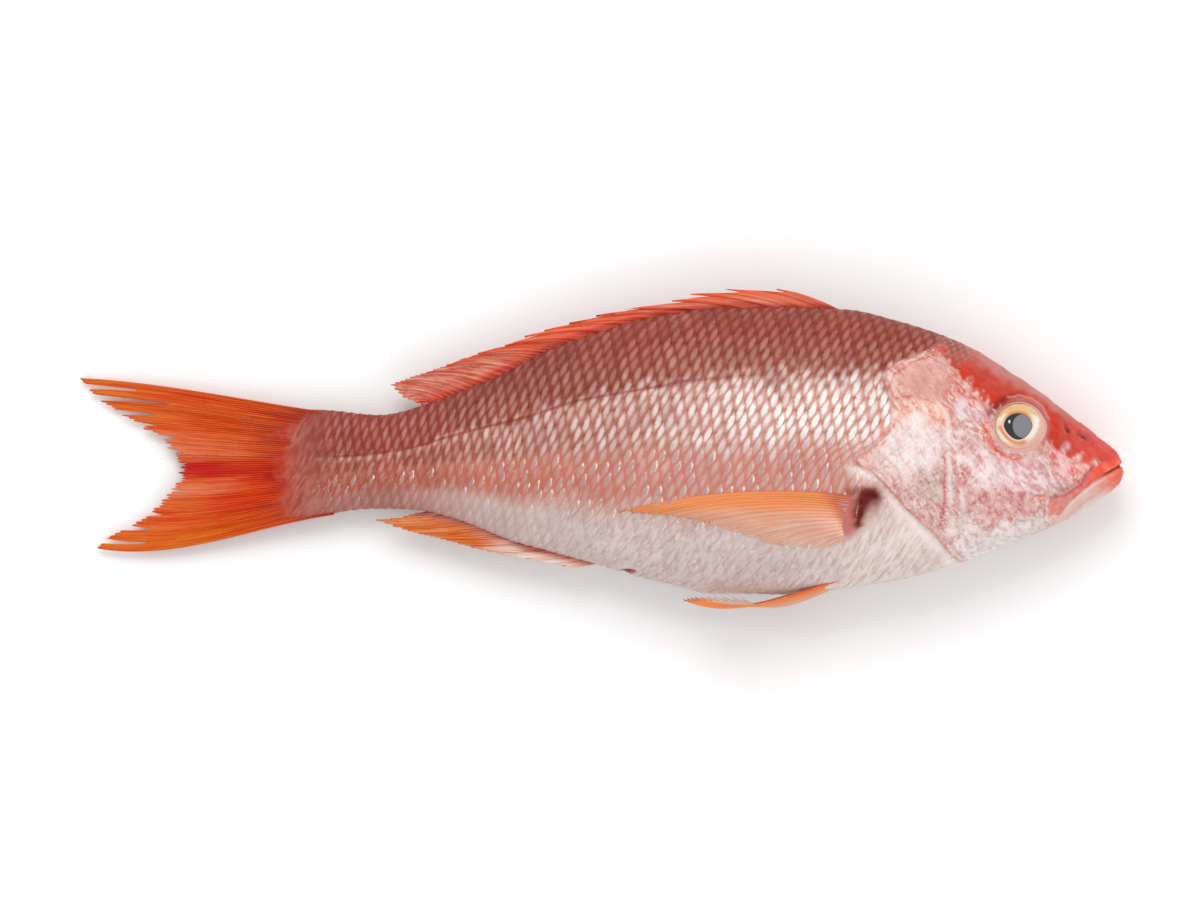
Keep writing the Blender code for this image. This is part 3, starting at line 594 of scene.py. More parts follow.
class Skin:
    """The fish's skin as a fine grid of rings, with its relief, scale pattern and colours."""

    def __init__(self):
        spacing = curve(RING_SPACING)
        rings = [SKIN_START]
        while rings[-1] < SKIN_END:
            rings.append(rings[-1] + float(spacing(rings[-1])))
        self.rings = np.array(rings)
        angles = np.linspace(0, 2 * math.pi, SKIN_SIDES + 1)
        station, angle = np.meshgrid(self.rings, angles, indexing="ij")
        height, _ = section(station, angle)
        bend = np.clip(gill_edge(height) - GILL_BEND_MIDDLE, -GILL_BEND_MOST, GILL_BEND_MOST)
        self.station = station + bend * ridge(station - GILL_BEND_MIDDLE, GILL_BEND_REACH)
        self.height, side = section(self.station, angle)
        side *= fall(self.station + 1.2 * self.waves(5, 8), 286.0, 316.0)
        plain = np.stack([-self.station, self.height, side], axis=2)
        self.measure_scales(plain)
        lift = self.relief()
        points = plain + self.outward(plain) * lift[:, :, None]
        level = np.maximum(points[:, :, 2] + middle_plane(self.station), 0.0)
        self.points = in_world(-points[:, :, 0], points[:, :, 1], level)
        self.normals = self.outward(self.points)
        self.paint()

    @staticmethod
    def outward(grid):
        """Outward unit normals of a grid of points that closes round its second direction."""
        lengthwise = np.gradient(grid, axis=0)
        ring = grid[:, :-1]
        around = np.roll(ring, -1, axis=1) - np.roll(ring, 1, axis=1)
        around = np.concatenate([around, around[:, :1]], axis=1)
        normals = np.cross(lengthwise, around)
        return normals / np.maximum(np.linalg.norm(normals, axis=2, keepdims=True), 1e-12)

    def measure_scales(self, plain):
        """Place of each point in the pattern of scales: along the fish and up the flank."""
        steps = np.linalg.norm(np.diff(plain, axis=1), axis=2)
        arc = np.concatenate([np.zeros((len(steps), 1)), np.cumsum(steps, axis=1)], axis=1)
        quarter = SKIN_SIDES // 4
        up = arc[:, quarter : quarter + 1] - arc[:, : 2 * quarter + 1]
        up = np.concatenate([up, up[:, -2::-1]], axis=1)
        settings = bpy.context.scene.fish_skin
        pitch = curve(SCALE_PITCH)
        step = 0.5
        table = np.arange(0.0, SCALE_PITCH[-1][0] + 5, step)
        count = np.interp(self.station, table, np.cumsum(step / pitch(table)))
        row = up / (settings.row_spacing / MM)
        ahead = scale_front(self.height) - self.station
        self.trunk = fall(ahead, -0.8, 0.8)
        share = np.where(self.trunk > 0.5, 1.0, HEAD_SCALE_SHARE)
        count = count / share
        row = row / share
        count += 0.06 * self.waves(24, 3)
        row += 0.06 * self.waves(21, 4)
        self.count = count + row / 3
        self.row = row

    def waves(self, length, seed):
        """Smooth uneven waves of about this length, in millimetres, over the skin."""
        return waves(self.station / length, self.height / length, seed)

    def scale_places(self):
        """How far each point is from its scale's middle along the scale's two diagonals."""
        first = self.count + self.row / 2
        second = self.count - self.row / 2
        return first - np.round(first), second - np.round(second)

    def relief(self):
        """How far the skin stands out from the plain body."""
        s, h = self.station, self.height
        eye = eye_reach(s, h)
        ahead = gill_edge(h) - s
        covered = rise(ahead, -0.35, 0.35) - rise(ahead, 2.0, 14.0)
        gill = 1.5 * covered * span(h, -43.0, -34.0, 2.0, 12.0)
        fold = 0.5 * span(h, -27.0, -24.0, 2.0, 6.0) * ridge(s - 64.0, 1.8)
        slit = (1.8 - rise(s, 5.0, 12.0)) * fall(s, 20.5, 22.5) * ridge(h - mouth_slit(s), 0.75)
        lips = 0.8 * fall(s, 16.0, 22.0) * ridge(h - mouth_slit(s), 3.0)
        groove = 0.8 * span(s, 9.0, 13.0, 27.0, 29.0) * ridge(h - jaw_groove(s), 0.8)
        jaw_end = 0.7 * ridge(distance_to(JAW_END, s, h), 0.8)
        rim = 0.75 * ridge(eye - 1.10, 0.14)
        socket = 3.2 * fall(eye, 0.90, 0.99)
        nostrils = 1.2 * ridge(distance_to(REAR_NOSTRIL, s, h), 0.55)
        nostrils += 1.1 * ridge(distance_to(FRONT_NOSTRIL, s, h), 0.75)
        nostril_rim = 0.35 * ridge(distance_to(FRONT_NOSTRIL, s, h) - 1.6, 0.7)
        plates = np.zeros_like(s)
        for line in PLATE_LINES:
            plates += ridge(distance_to(line, s, h), 0.6)
        axil = 2.2 * patch(s, h, *AXIL_DIP)
        lobe = 1.6 * patch(s, h, *LOBE_SWELL)
        pores = 0.16 * ridge(h - side_line(s), 0.9) * rise(s, 84.0, 92.0)
        vent = 0.8 * patch(s, h, *VENT_PLACE)
        swell = 0.22 * self.waves(42, 11)
        swell += (0.14 * self.waves(12, 12) + 0.05 * self.waves(4, 13)) * (1 - self.trunk)
        first, second = self.scale_places()
        lifted = (first + second) / 2 + 0.5
        edge = np.maximum(np.abs(first), np.abs(second)) * 2
        tile = lifted * (1 - 0.7 * rise(edge, 0.82, 1.0))
        self.scaly = self.trunk * fall(s, 284.0, 300.0)
        self.cover_scaly = (1 - self.trunk) * rise(s, 40.0, 52.0) * fall(h, 6.0, 16.0)
        self.cover_scaly *= rise(eye, 1.5, 1.9)
        settings = bpy.context.scene.fish_skin
        scale_rise = settings.scale_rise / MM
        scales = scale_rise * tile * (self.scaly + 0.28 * self.cover_scaly)
        total = gill + rim + lips + nostril_rim + lobe + pores + swell + scales
        total -= fold + slit + groove + jaw_end + nostrils + 0.32 * plates + axil + vent
        return total * span(s, 0.0, 1.5, 300.0, 314.0) - socket

    def lay(self, shades, amount):
        """Lays a pair of shades over the dark and the pale colours."""
        amount = np.clip(amount, 0, 1)[:, :, None]
        for layer, colour in zip((self.dark, self.pale), shades):
            layer += (np.array(colour) - layer) * amount

    def paint(self):
        """Colours of the trunk, place by place, and how strongly its scales, flecks and painted glints
        show.
        """
        s, h = self.station, self.height
        line = side_line(s)
        depth = (h - belly_line(s)) / (back_line(s) - belly_line(s))
        above = (h - line) / (back_line(s) - line)
        below = (line - h) / (line - belly_line(s)) + 0.02 * self.waves(26, 21)
        self.dark = np.empty(s.shape + (3,))
        self.pale = np.empty(s.shape + (3,))
        self.dark[:], self.pale[:] = UPPER
        rear = rise(s, 150.0, 235.0)
        stalk = rise(s, 225.0, 268.0)
        self.lay(UPPER_REAR, rear)
        # Darker back: its own colour, partly painted shade.
        back = rise(above, 0.15, 0.75)
        self.lay(BACK, back)
        self.lay(BACK_REAR, back * rear)
        self.lay(STALK_UPPER, stalk)
        # Silver band below the side line, its pale scales painted as highlights.
        middle = rise(below + 0.03 * self.waves(6, 22), -0.05, 0.13)
        self.lay(MIDDLE, middle)
        self.lay(MIDDLE_REAR, middle * rise(s + 3.0 * self.waves(11, 23), 112.0, 205.0))
        self.lay(UPPER_REAR, middle * rise(s, 202.0, 262.0))
        lower = rise(below, 0.24, 0.40)
        self.lay(LOWER, lower)
        self.lay(LOWER_REAR, lower * rear)
        self.lay(STALK_LOWER, rise(below, 0.1, 0.4) * stalk)
        belly = rise(below, 0.55, 0.76)
        self.lay(BELLY, belly * (1 - 0.8 * stalk))
        self.lay(BELLY_FRONT, belly * fall(s, 84.0, 128.0))
        self.lay(BELLY_FRONT, 0.8 * lower * fall(s, 88.0, 108.0))
        fade = rise(scale_front(h) - s + 1.2 * self.waves(9, 5), -2.5, 2.0)
        self.contrast = self.scaly * (1 - fade) * (1 - 0.25 * rise(below, 0.22, 0.45))
        self.contrast *= (1 - 0.3 * rise(above, 0.55, 0.95)) * (1 - 0.35 * belly)
        # Larger pale spots at the front of that band, for its painted glints.
        self.contrast *= 1 + 0.55 * middle * (1 - lower) * fall(s, 115.0, 190.0)
        self.corners = self.scaly * (1 - fade) * fall(below, 0.20, 0.42)
        self.corners *= (1 - 0.55 * rise(above, 0.5, 1.0)) * (1 - 0.55 * stalk)
        self.mottle = 0.14 + 0.7 * belly * fall(s, 190.0, 230.0)
        self.red = 0.12 + 0.3 * middle + 0.5 * lower * (1 - 0.3 * rear)
        self.red *= 1 - 0.85 * belly
        # Strength of the white painted glints, and of the grey patches in the scales.
        self.white = (0.9 * rise(below, 0.26, 0.42) + 0.1) * self.scaly * (1 - 0.6 * belly)
        on_line = 0.75 * ridge(h - line, 0.55) * rise(s, 120.0, 170.0) * self.scaly
        self.lay((SIDE_LINE_RED, SIDE_LINE_RED), on_line)
        self.lay((VENT_RED, VENT_RED), patch(s, h, *VENT_PLACE))
        self.paint_head(s, h, depth)
        tail = rise(s + 3.0 * self.waves(8, 31), 282.0, 304.0)
        self.lay(TAIL_SKIN, tail)
        self.lay(TAIL_ROOT, rise(s + 1.5 * self.waves(5, 32), 297.0, 310.0))
        self.red *= 1 - tail
        self.white *= 1 - 0.7 * tail
        self.mottle += 0.5 * tail * fall(s, 299.0, 310.0)
        self.contrast *= 1 - 0.7 * tail
        self.corners *= 1 - tail

    def paint_head(self, s, h, depth):
        """Colours of the head, from broad zones to single marks."""
        fade = rise(scale_front(h) - s + 1.2 * self.waves(9, 5), -2.0, 2.0)
        head = np.maximum(1 - self.trunk, fade * (h > -8.0))
        self.red += (0.3 - self.red) * head
        # Head: strength of its white flecks and painted glints.
        self.white += (0.6 - self.white) * head
        smooth = 1 - 0.4 * patch(s, h, *NAPE_PLACE)
        self.mottle += (0.85 * smooth - self.mottle) * head
        self.white *= 1 - head * (1 - smooth)
        self.contrast = np.maximum(self.contrast, 0.5 * head * self.cover_scaly)
        eye = eye_reach(s, h)
        wobble = 1.6 * self.waves(7, 41)
        self.lay(COVER, head)
        for middle, half, tilt, shades, strength in HEAD_ZONES:
            zone = patch(s + 0.5 * wobble, h + 0.5 * wobble, middle, half, tilt)
            self.lay(shades, head * strength * zone)
        throat = head * fall(h - belly_line(s) + 0.5 * wobble, 4.0, 11.0) * rise(s, 22.0, 34.0)
        self.lay(THROAT, throat)
        crown = curve(CROWN_LIMIT)
        ragged = 1.5 * self.waves(3.2, 43)
        red = head * rise(h - crown(s) + wobble + ragged * rise(s, 36.0, 46.0), -2.2, 2.4)
        self.lay(CROWN, red)
        near_limit = red * ridge(h - crown(s) - 3.0 + wobble, 2.6) * rise(s, 40.0, 46.0)
        self.lay(CROWN_BRIGHT, (0.55 + 0.3 * wobble) * near_limit)
        self.lay(CROWN_BRIGHT, 0.8 * red * ridge(eye - 1.3, 0.2) * rise(h, 2.0, 9.0))
        self.lay(CROWN_BRIGHT, 0.7 * patch(s, h, *BROW_PLACE) * red)
        self.lay(SNOUT, red * fall(s, 14.0, 26.0))
        band = red * rise(depth + 0.01 * wobble, 0.88, 0.985) * rise(s, 12.0, 30.0)
        self.lay(CROWN_EDGE, 0.85 * band)
        self.mottle -= 0.62 * red
        self.contrast *= 1 - red
        self.red *= 1 - 0.8 * red
        self.white *= 1 - 0.92 * red
        strip = (1 - self.trunk) * rise(depth + 0.012 * wobble, 0.90, 0.945) * rise(s, 52.0, 62.0)
        self.lay(STRIP, strip)
        self.contrast = np.maximum(self.contrast, 0.7 * strip)
        self.corners = np.maximum(self.corners, 0.5 * strip)
        below_eye = rise(CRESCENT_SLOPE * (s - EYE_STATION) - (h - EYE_HEIGHT), 2.0, 6.0)
        self.lay(EYE_CRESCENT, 0.9 * ridge(eye - 1.32, 0.13) * below_eye * rise(s, 35.0, 40.0))
        above_eye = rise((s - EYE_STATION) + (h - EYE_HEIGHT), 7.0, 11.0) * rise(h, 9.0, 13.0)
        self.lay(EYE_SHADE, 0.85 * ridge(eye - 1.24, 0.15) * above_eye)
        ahead = rise((EYE_STATION - s) + 0.6 * (h - EYE_HEIGHT), -1.0, 5.0)
        self.lay(LID_SKIN, 0.75 * ridge(eye - 1.06, 0.12) * ahead)
        self.paint_mouth(s, h)
        for points, width, shades, strength in HEAD_LINES:
            self.lay(shades, strength * ridge(distance_to(points, s, h + 0.12 * wobble), width))
        for middle, half, tilt, shades, strength in HEAD_MARKS:
            self.lay(shades, strength * patch(s + 0.25 * wobble, h, middle, half, tilt))
        self.paint_gill_edge(s, h)

    def paint_gill_edge(self, s, h):
        """Colours of the gill cover's free edge with a painted shade line inside it, and of the lobe
        and the painted shade of the hollow behind it.
        """
        edge = [(station, height) for height, station in GILL_EDGE[1:10]]
        gap = distance_to(edge, s, h)
        behind = s > gill_edge(h)
        low = fall(h, -8.0, -5.0)
        torn = np.clip(0.5 + 0.5 * self.waves(4, 44), 0, 1)
        self.lay(ORANGE_LINE, (0.25 + 0.6 * torn) * ridge(gap - 0.2, 0.9) * ~behind)
        # A painted shade line in the crease just inside the free edge.
        self.lay(COVER_SHADE, 0.7 * ridge(gap - 2.2, 0.7) * ~behind * low)
        membrane = (0.7 + 0.3 * torn) * ridge(gap - 2.3, 2.4) * behind * low
        self.lay(GILL_MARGIN, membrane)
        for field in (self.contrast, self.mottle, self.red, self.corners):
            field *= 1 - 0.85 * np.clip(membrane, 0, 1)
        around = np.maximum(patch(s, h, *AXIL_SURROUND), patch(s, h, *LOBE_SURROUND))
        for field in (self.contrast, self.mottle, self.red, self.white, self.corners):
            field *= 1 - 0.9 * around
        ragged = 0.35 * self.waves(3, 45)
        self.lay(LOBE, patch(s, h, *LOBE_PLACE))
        # Painted shade in the hollow ahead of the breast fin, deepest at its upper rim.
        narrowing = 1 - 0.55 * rise(-h, 17.0, 27.0)
        beside = distance_to(AXIL_SIDE, s, h) + ragged
        self.lay(AXIL_EDGE_SHADE, 0.9 * ridge(distance_to(AXIL_TOP, s, h) + ragged, 1.5))
        self.lay(AXIL_EDGE_SHADE, 0.85 * ridge(beside, 4.6 * narrowing))
        self.lay(AXIL_SHADE, 0.9 * ridge(distance_to(AXIL_TOP[:2], s, h + 0.8) + ragged, 1.3))
        self.lay(AXIL_SHADE, 0.95 * ridge(beside, 3.4 * narrowing))

    def paint_mouth(self, s, h):
        """Colours of the lips, the jaw plate and the chin, and the painted shade of the mouth's slit."""
        over = h - mouth_slit(s)
        ends = fall(s, 27.0, 29.5)
        plate = ends * rise(over, 0.2, 0.8) * fall(h - jaw_groove(s), -0.8, 0.2) * rise(s, 5.0, 9.0)
        self.lay(JAW_PLATE, plate)
        self.lay(UPPER_LIP, 0.9 * plate * fall(s, 12.0, 20.0))
        self.lay(UPPER_LIP, span(over, 0.2, 0.9, 3.0, 4.5) * fall(s, 8.0, 12.0))
        lip = fall(-over - 6 * fall(s, 2.0, 12.0), 3.4, 6.4)
        lip *= rise(-over, -0.3, 0.2) * fall(s, 24.0, 28.0)
        self.lay(LOWER_LIP, lip)
        self.lay(LIP_PALE, lip * rise(s, 5.0, 15.0))
        self.lay(UPPER_LIP, 0.6 * lip * fall(s, 2.0, 8.0))
        chin = rise(-over, 3.8, 7.4) * fall(s, 22.0, 32.0)
        self.lay(CHIN, chin * rise(s, 2.0, 10.0))
        near = np.clip(plate + lip + chin, 0, 1)
        fields = (self.mottle, self.white, self.red, self.contrast)
        for field, value in zip(fields, (0.45, 0.15, 0.05, 0.0)):
            field += (value - field) * near
        # Painted shade in the mouth's slit, fading back along it.
        slit = 0.8 * ridge(over, 0.4) * (1 - 0.75 * rise(s, 5.0, 11.0)) * fall(s, 18.0, 23.0)
        self.lay(SLIT_SHADE, slit)
        self.lay(CHIN, 0.25 * ridge(over + 0.9, 0.6) * span(s, 6.0, 11.0, 18.0, 23.0))


class Signal:
    """One number of a material that changes over the surface; sums of it add Math nodes."""

    def __init__(self, finish, socket):
        self.finish = finish
        self.socket = socket

    def maths(self, operation, first, second=0.0):
        values = {0: first, 1: second}
        node = self.finish.node("ShaderNodeMath", {"operation": operation}, values)
        return Signal(self.finish, node.outputs[0])

    def __add__(self, other):
        return self.maths("ADD", self, other)

    __radd__ = __add__

    def __sub__(self, other):
        return self.maths("SUBTRACT", self, other)

    def __rsub__(self, other):
        return self.maths("SUBTRACT", other, self)

    def __mul__(self, other):
        return self.maths("MULTIPLY", self, other)

    __rmul__ = __mul__

    def __truediv__(self, other):
        return self.maths("DIVIDE", self, other)

    def __pow__(self, other):
        return self.maths("POWER", self, other)

    def __abs__(self):
        return self.maths("ABSOLUTE", self)

    def round(self):
        return self.maths("ROUND", self)

    def most(self, other):
        return self.maths("MAXIMUM", self, other)

    def least(self, other):
        return self.maths("MINIMUM", self, other)

    def rise(self, low, high):
        """0 below low, 1 above high, and a smooth rise between them."""
        settings = {"interpolation_type": "SMOOTHSTEP"}
        values = {"Value": self, "From Min": low, "From Max": high}
        node = self.finish.node("ShaderNodeMapRange", settings, values)
        return Signal(self.finish, node.outputs["Result"])


class Finish:
    """A material in the making."""

    def __init__(self, name, **constants):
        self.material = bpy.data.materials.new(name)
        self.material.use_nodes = True
        self.tree = self.material.node_tree
        self.shader = self.tree.nodes["Principled BSDF"]
        for name, value in constants.items():
            socket = name.replace("_", " ").title().replace("Ior", "IOR")
            self.shader.inputs[socket].default_value = value

    def node(self, kind, settings=None, values=None):
        """Adds a node: its settings first, then the values or links of its sockets."""
        made = self.tree.nodes.new(kind)
        for key, value in (settings or {}).items():
            setattr(made, key, value)
        for key, value in (values or {}).items():
            if isinstance(value, Signal):
                value = value.socket
            if isinstance(value, bpy.types.NodeSocket):
                self.tree.links.new(value, made.inputs[key])
            else:
                made.inputs[key].default_value = value
        return made

    def feed(self, socket, value):
        """Links a changing value to the shader."""
        value = value.socket if isinstance(value, Signal) else value
        self.tree.links.new(value, self.shader.inputs[socket])

    def pair(self, map_name):
        """The two numbers of one of the piece's UV maps."""
        source = self.node("ShaderNodeUVMap", {"uv_map": map_name})
        parts = self.node("ShaderNodeSeparateXYZ", None, {0: source.outputs[0]})
        return Signal(self, parts.outputs[0]), Signal(self, parts.outputs[1])

    def place(self):
        """Object coordinates, and their three numbers in millimetres."""
        source = self.node("ShaderNodeTexCoord").outputs["Object"]
        parts = self.node("ShaderNodeSeparateXYZ", None, {0: source})
        return source, [Signal(self, part) / MM for part in parts.outputs]

    def attribute(self, name):
        """Colour and strength of one of the piece's colour attributes."""
        source = self.node("ShaderNodeAttribute", {"attribute_name": name})
        return source.outputs["Color"], Signal(self, source.outputs["Alpha"])

    def join(self, x, y, z=0.0):
        """A vector from three numbers."""
        return self.node("ShaderNodeCombineXYZ", None, {0: x, 1: y, 2: z}).outputs[0]

    def channels(self, colour):
        """The three numbers of a colour."""
        parts = self.node("ShaderNodeSeparateColor", None, {0: colour})
        return [Signal(self, part) for part in parts.outputs]

    def noise(self, vector, scale, detail=2.0, roughness=0.5, distortion=0.0):
        """Soft noise from 0 to 1."""
        values = {"Vector": vector, "Scale": scale, "Detail": detail, "Roughness": roughness}
        values["Distortion"] = distortion
        return Signal(self, self.node("ShaderNodeTexNoise", None, values).outputs[0])

    def stretch(self, vector, turn, length):
        """Coordinates in which a pattern lies stretched along a turned direction."""
        turned = (0.0, 0.0, math.radians(turn))
        values = {"Vector": vector, "Rotation": turned, "Scale": (length, 1.0, 1.0)}
        return self.node("ShaderNodeMapping", {"vector_type": "TEXTURE"}, values).outputs[0]

    def chance(self, vector):
        """A number from 0 to 1 drawn for each cell."""
        node = self.node("ShaderNodeTexWhiteNoise", {"noise_dimensions": "3D"}, {"Vector": vector})
        return Signal(self, node.outputs["Value"])

    def darken(self, colour, factor):
        """A colour times another, or times a number."""
        if isinstance(factor, Signal):
            factor = self.join(factor, factor, factor)
        return self.mix(1.0, colour, factor, "MULTIPLY")

    def mix(self, amount, first, second, blend="MIX"):
        """A colour between two colours."""
        first = (*first, 1.0) if isinstance(first, tuple) else first
        second = (*second, 1.0) if isinstance(second, tuple) else second
        settings = {"data_type": "RGBA", "blend_type": blend}
        return self.node("ShaderNodeMix", settings, {0: amount, 6: first, 7: second}).outputs[2]

    def bump(self, height, distance, strength):
        """Feeds a fine relief, in metres of distance, to the shader's normal."""
        values = {"Height": height, "Distance": distance, "Strength": strength}
        self.feed("Normal", self.node("ShaderNodeBump", None, values).outputs[0])


def skin_finish():
    """Wet skin: pale scales with painted highlight between darker borders with painted shade, and
    mottling, flecks and painted glints.
    """
    settings = bpy.context.scene.fish_skin
    finish = Finish("wet_skin", coat_roughness=0.2, specular_ior_level=0.16)
    count, row = finish.pair("Scales")
    dark, contrast = finish.attribute("Dark")
    pale, corners = finish.attribute("Pale")
    marks, trunk = finish.attribute("Marks")
    mottle, red, white = finish.channels(marks)
    first = count + row / 2
    second = count - row / 2
    along_rows = finish.join(first * 1.7, second * 0.75)
    first_cell = first.round()
    second_cell = second.round()
    first = first - first_cell
    second = second - second_cell
    draw = finish.chance(finish.join(first_cell, second_cell))
    again = finish.chance(finish.join(second_cell, first_cell, 3.0))
    where, (_, y, _) = finish.place()
    strokes = finish.stretch(where, STROKE_TURN, STROKE_LENGTH)
    grain = finish.noise(where, 1100.0, 3.0, 0.6)
    rough = finish.noise(where, 640.0, 2.0, 0.5)
    veins = finish.noise(strokes, 430.0, 4.0, 0.58, 0.5)
    veins = veins + (finish.noise(along_rows, 1.0, 4.0, 0.62, 0.3) - veins) * trunk
    specks = finish.noise(strokes, 860.0, 3.0, 0.6, 0.5)
    specks = specks + (finish.noise(along_rows, 2.2, 3.0, 0.6, 0.4) - specks) * trunk
    cloud = finish.noise(where, 110.0, 3.0, 0.6)
    broad = finish.noise(where, 34.0, 2.0, 0.5)
    along_scale = first + second + (draw - 0.5) * 0.3 + (rough - 0.5) * 0.36
    up_scale = first - second + (again - 0.5) * 0.3
    from_middle = ((along_scale / 0.60) ** 2 + (up_scale / 0.80) ** 2) ** 0.5
    spot = 1 - (from_middle + grain * 0.7 - 0.35).rise(0.22, 1.14)
    scale = spot * contrast * (draw * 0.62 + cloud * 0.75 + 0.12)
    # Pale spot in each scale's middle over its border: own colour, with painted highlight on the spot
    # and painted shade in the border.
    colour = finish.mix(scale.least(1.0), dark, pale)
    corner = (abs(first + second) - abs(first - second) * 0.75 + rough * 0.8 - 0.4).rise(0.28, 0.80)
    corner = corner * corners * (0.2 + again * 0.8)
    colour = finish.mix(corner, colour, finish.darken(colour, SCALE_CORNER))
    border = (abs(first) + rough * 0.16 - 0.08).rise(0.33, 0.50)
    border = border.most((abs(second) + rough * 0.16 - 0.08).rise(0.38, 0.52) * 0.6)
    colour = finish.mix(border * red * (again * 0.6 + cloud * 0.9 - 0.1).least(1.0), colour, LATTICE_RED)
    colour = finish.mix((veins.rise(0.36, 0.66) * mottle).least(1.0), colour, pale)
    # Painted glints: white flecks on the head where the noise peaks.
    glare = (cloud + veins * 0.5).rise(0.76, 1.02) * mottle * white
    colour = finish.mix(glare * (1 - trunk) * 0.7, colour, WHITE_FLECK_AND_GLINT)
    red_fleck = (specks + veins * 0.6).rise(0.82, 1.0) * red
    colour = finish.mix(red_fleck * 0.6, colour, RED_FLECK)
    grey = (1 - from_middle.rise(0.15, 0.75)) * again.rise(0.25, 0.7) * white * contrast
    colour = finish.mix(grey * 0.9, colour, GREY_PATCH)
    # Painted glints: a white comma near each scale's edge.
    arc = (along_scale * along_scale * 1.7 + up_scale * up_scale) ** 0.5
    comma = 1 - abs(arc - 0.50).rise(0.02, 0.22)
    comma = comma * (up_scale * 0.6 - along_scale).rise(0.1, 0.6) * again.rise(0.2, 0.9) * contrast
    comma = comma * (rough + grain * 0.4).rise(0.5, 0.85)
    white_fleck_and_glint = (comma * 1.6 + (specks - veins * 0.5).rise(0.30, 0.42) * mottle).least(0.9) * white
    colour = finish.mix(white_fleck_and_glint, colour, WHITE_FLECK_AND_GLINT)
    shade = (0.86 + cloud * 0.28) * (0.91 + grain * 0.18) * (0.90 + broad * 0.20)
    colour = finish.darken(colour, shade)
    finish.feed("Base Color", colour)
    finish.feed("Roughness", settings.roughness + grain * 0.16 - 0.08 - spot * contrast * 0.10)
    gloss = 1 - (y - AXIS_Y / MM).rise(18.0, 36.0) * 0.6
    finish.feed("Coat Weight", settings.wetness * (0.3 + cloud * 0.8) * gloss)
    tilt = (draw - 0.5) * first + (again - 0.5) * second
    height = tilt * contrast * 0.8 + grain * 0.25 + veins * mottle * 0.45
    finish.bump(height, 0.0005, 0.6)
    return finish.material


def fin_finish(name, thin=False):
    """Fin: bright bony rays with paler membrane between them and fine dark lines."""
    settings = bpy.context.scene.fish_fins
    finish = Finish(name, coat_roughness=0.2, specular_ior_level=0.12)
    across, out = finish.pair("Rays")
    web, strength = finish.attribute("Dark")
    ray, lines = finish.attribute("Pale")
    near = abs(across - across.round()) * 2
    long = finish.noise(finish.join(across * 0.8, out * 0.55), 1.0, 4.0, 0.6)
    fine = finish.noise(finish.join(across * 5.0, out * 2.2), 1.0, 3.0, 0.6)
    colour = finish.mix((long + fine * 0.4 - near * 0.12).rise(0.50, 0.78), web, ray)
    line = (near + fine * 0.5).rise(0.95, 1.25) * lines
    colour = finish.mix(line, colour, finish.darken(colour, FIN_LINE))
    shade = (0.84 + long * 0.32) * (0.86 + fine * 0.28)
    colour = finish.darken(colour, shade)
    finish.feed("Base Color", colour)
    finish.feed("Roughness", settings.roughness + fine * 0.2 - 0.1)
    finish.feed("Coat Weight", settings.wetness * (0.3 + fine * 1.2))
    if thin:
        finish.feed("Alpha", (strength + (1 - near) * 0.12 + fine * 0.1).least(1.0))
    finish.bump(fine - near * 0.6, 0.00015, 0.6)
    return finish.material


def eye_finish():
    """Clear wet eye: ivory iris with golden and orange edges, and a drop-shaped black pupil with a
    painted grey reflection and a small painted highlight.
    """
    settings = bpy.context.scene.fish_eyes
    finish = Finish("wet_eye", roughness=0.08, coat_weight=0.6, coat_roughness=0.03)
    where, (x, y, _) = finish.place()
    tailward = (EYE_MIDDLE.x / MM - x) / EYE_HALF_LENGTH
    upward = (y - EYE_MIDDLE.y / MM) / EYE_HALF_HEIGHT
    reach = (tailward * tailward + upward * upward) ** 0.5
    grain = finish.noise(where, 1500.0, 3.0, 0.6)
    wave = finish.noise(where, 260.0, 3.0, 0.55)
    tail_in = tailward - 0.06
    narrow = 1 + (0 - upward).most(0.0) * 0.55
    drop = ((tail_in * narrow / 0.565) ** 2 + (upward / 0.55) ** 2) ** 0.5
    colour = finish.mix((reach + wave * 0.3 - 0.15).rise(0.74, 0.98), tuple(settings.iris), IRIS_RIM)
    low_pink = (reach + (0 - upward) * 0.25 - tailward * 0.2 + wave * 0.3).rise(0.95, 1.18)
    colour = finish.mix(low_pink, colour, IRIS_PINK)
    gold = (upward + wave * 0.5 - 0.25).rise(0.36, 0.62) * (1 - reach.rise(0.82, 0.96))
    colour = finish.mix(gold * 0.85, colour, IRIS_GOLD)
    low_rear = (tailward * 0.7 - upward * 0.8 + wave * 0.5).rise(0.30, 0.75)
    crescent = (1 - abs(drop - 1.26).rise(0.04, 0.30)) * low_rear
    colour = finish.mix(crescent * 0.9, colour, IRIS_ORANGE)
    ring = (1 - abs(drop - 1.08).rise(0.02, 0.16)) * (0.12 + upward.rise(0.0, 0.5) * 0.8)
    colour = finish.mix(ring, colour, IRIS_ORANGE)
    pupil = 1 - (drop + wave * 0.04).rise(1.0, 1.05)
    colour = finish.mix(pupil, colour, tuple(settings.pupil))
    # Soft grey painted reflection over the pupil's front part.
    reflection = (((tailward + 0.13) / 0.42) ** 2 + ((upward - 0.02) / 0.50) ** 2) ** 0.5
    colour = finish.mix((1 - reflection.rise(0.93, 1.0)) * (1 - drop.rise(0.93, 1.0)), colour, PUPIL_REFLECTION)
    # A small painted highlight on the eye.
    eye_highlight = (((tailward - 0.40) / 0.05) ** 2 + ((upward - 0.20) / 0.09) ** 2) ** 0.5
    colour = finish.mix((1 - eye_highlight.rise(0.5, 1.0)) * 0.8, colour, WHITE_FLECK_AND_GLINT)
    shade = 0.93 + grain * 0.14
    colour = finish.darken(colour, shade)
    finish.feed("Base Color", colour)
    finish.bump(wave, 0.00008, 0.3)
    return finish.material


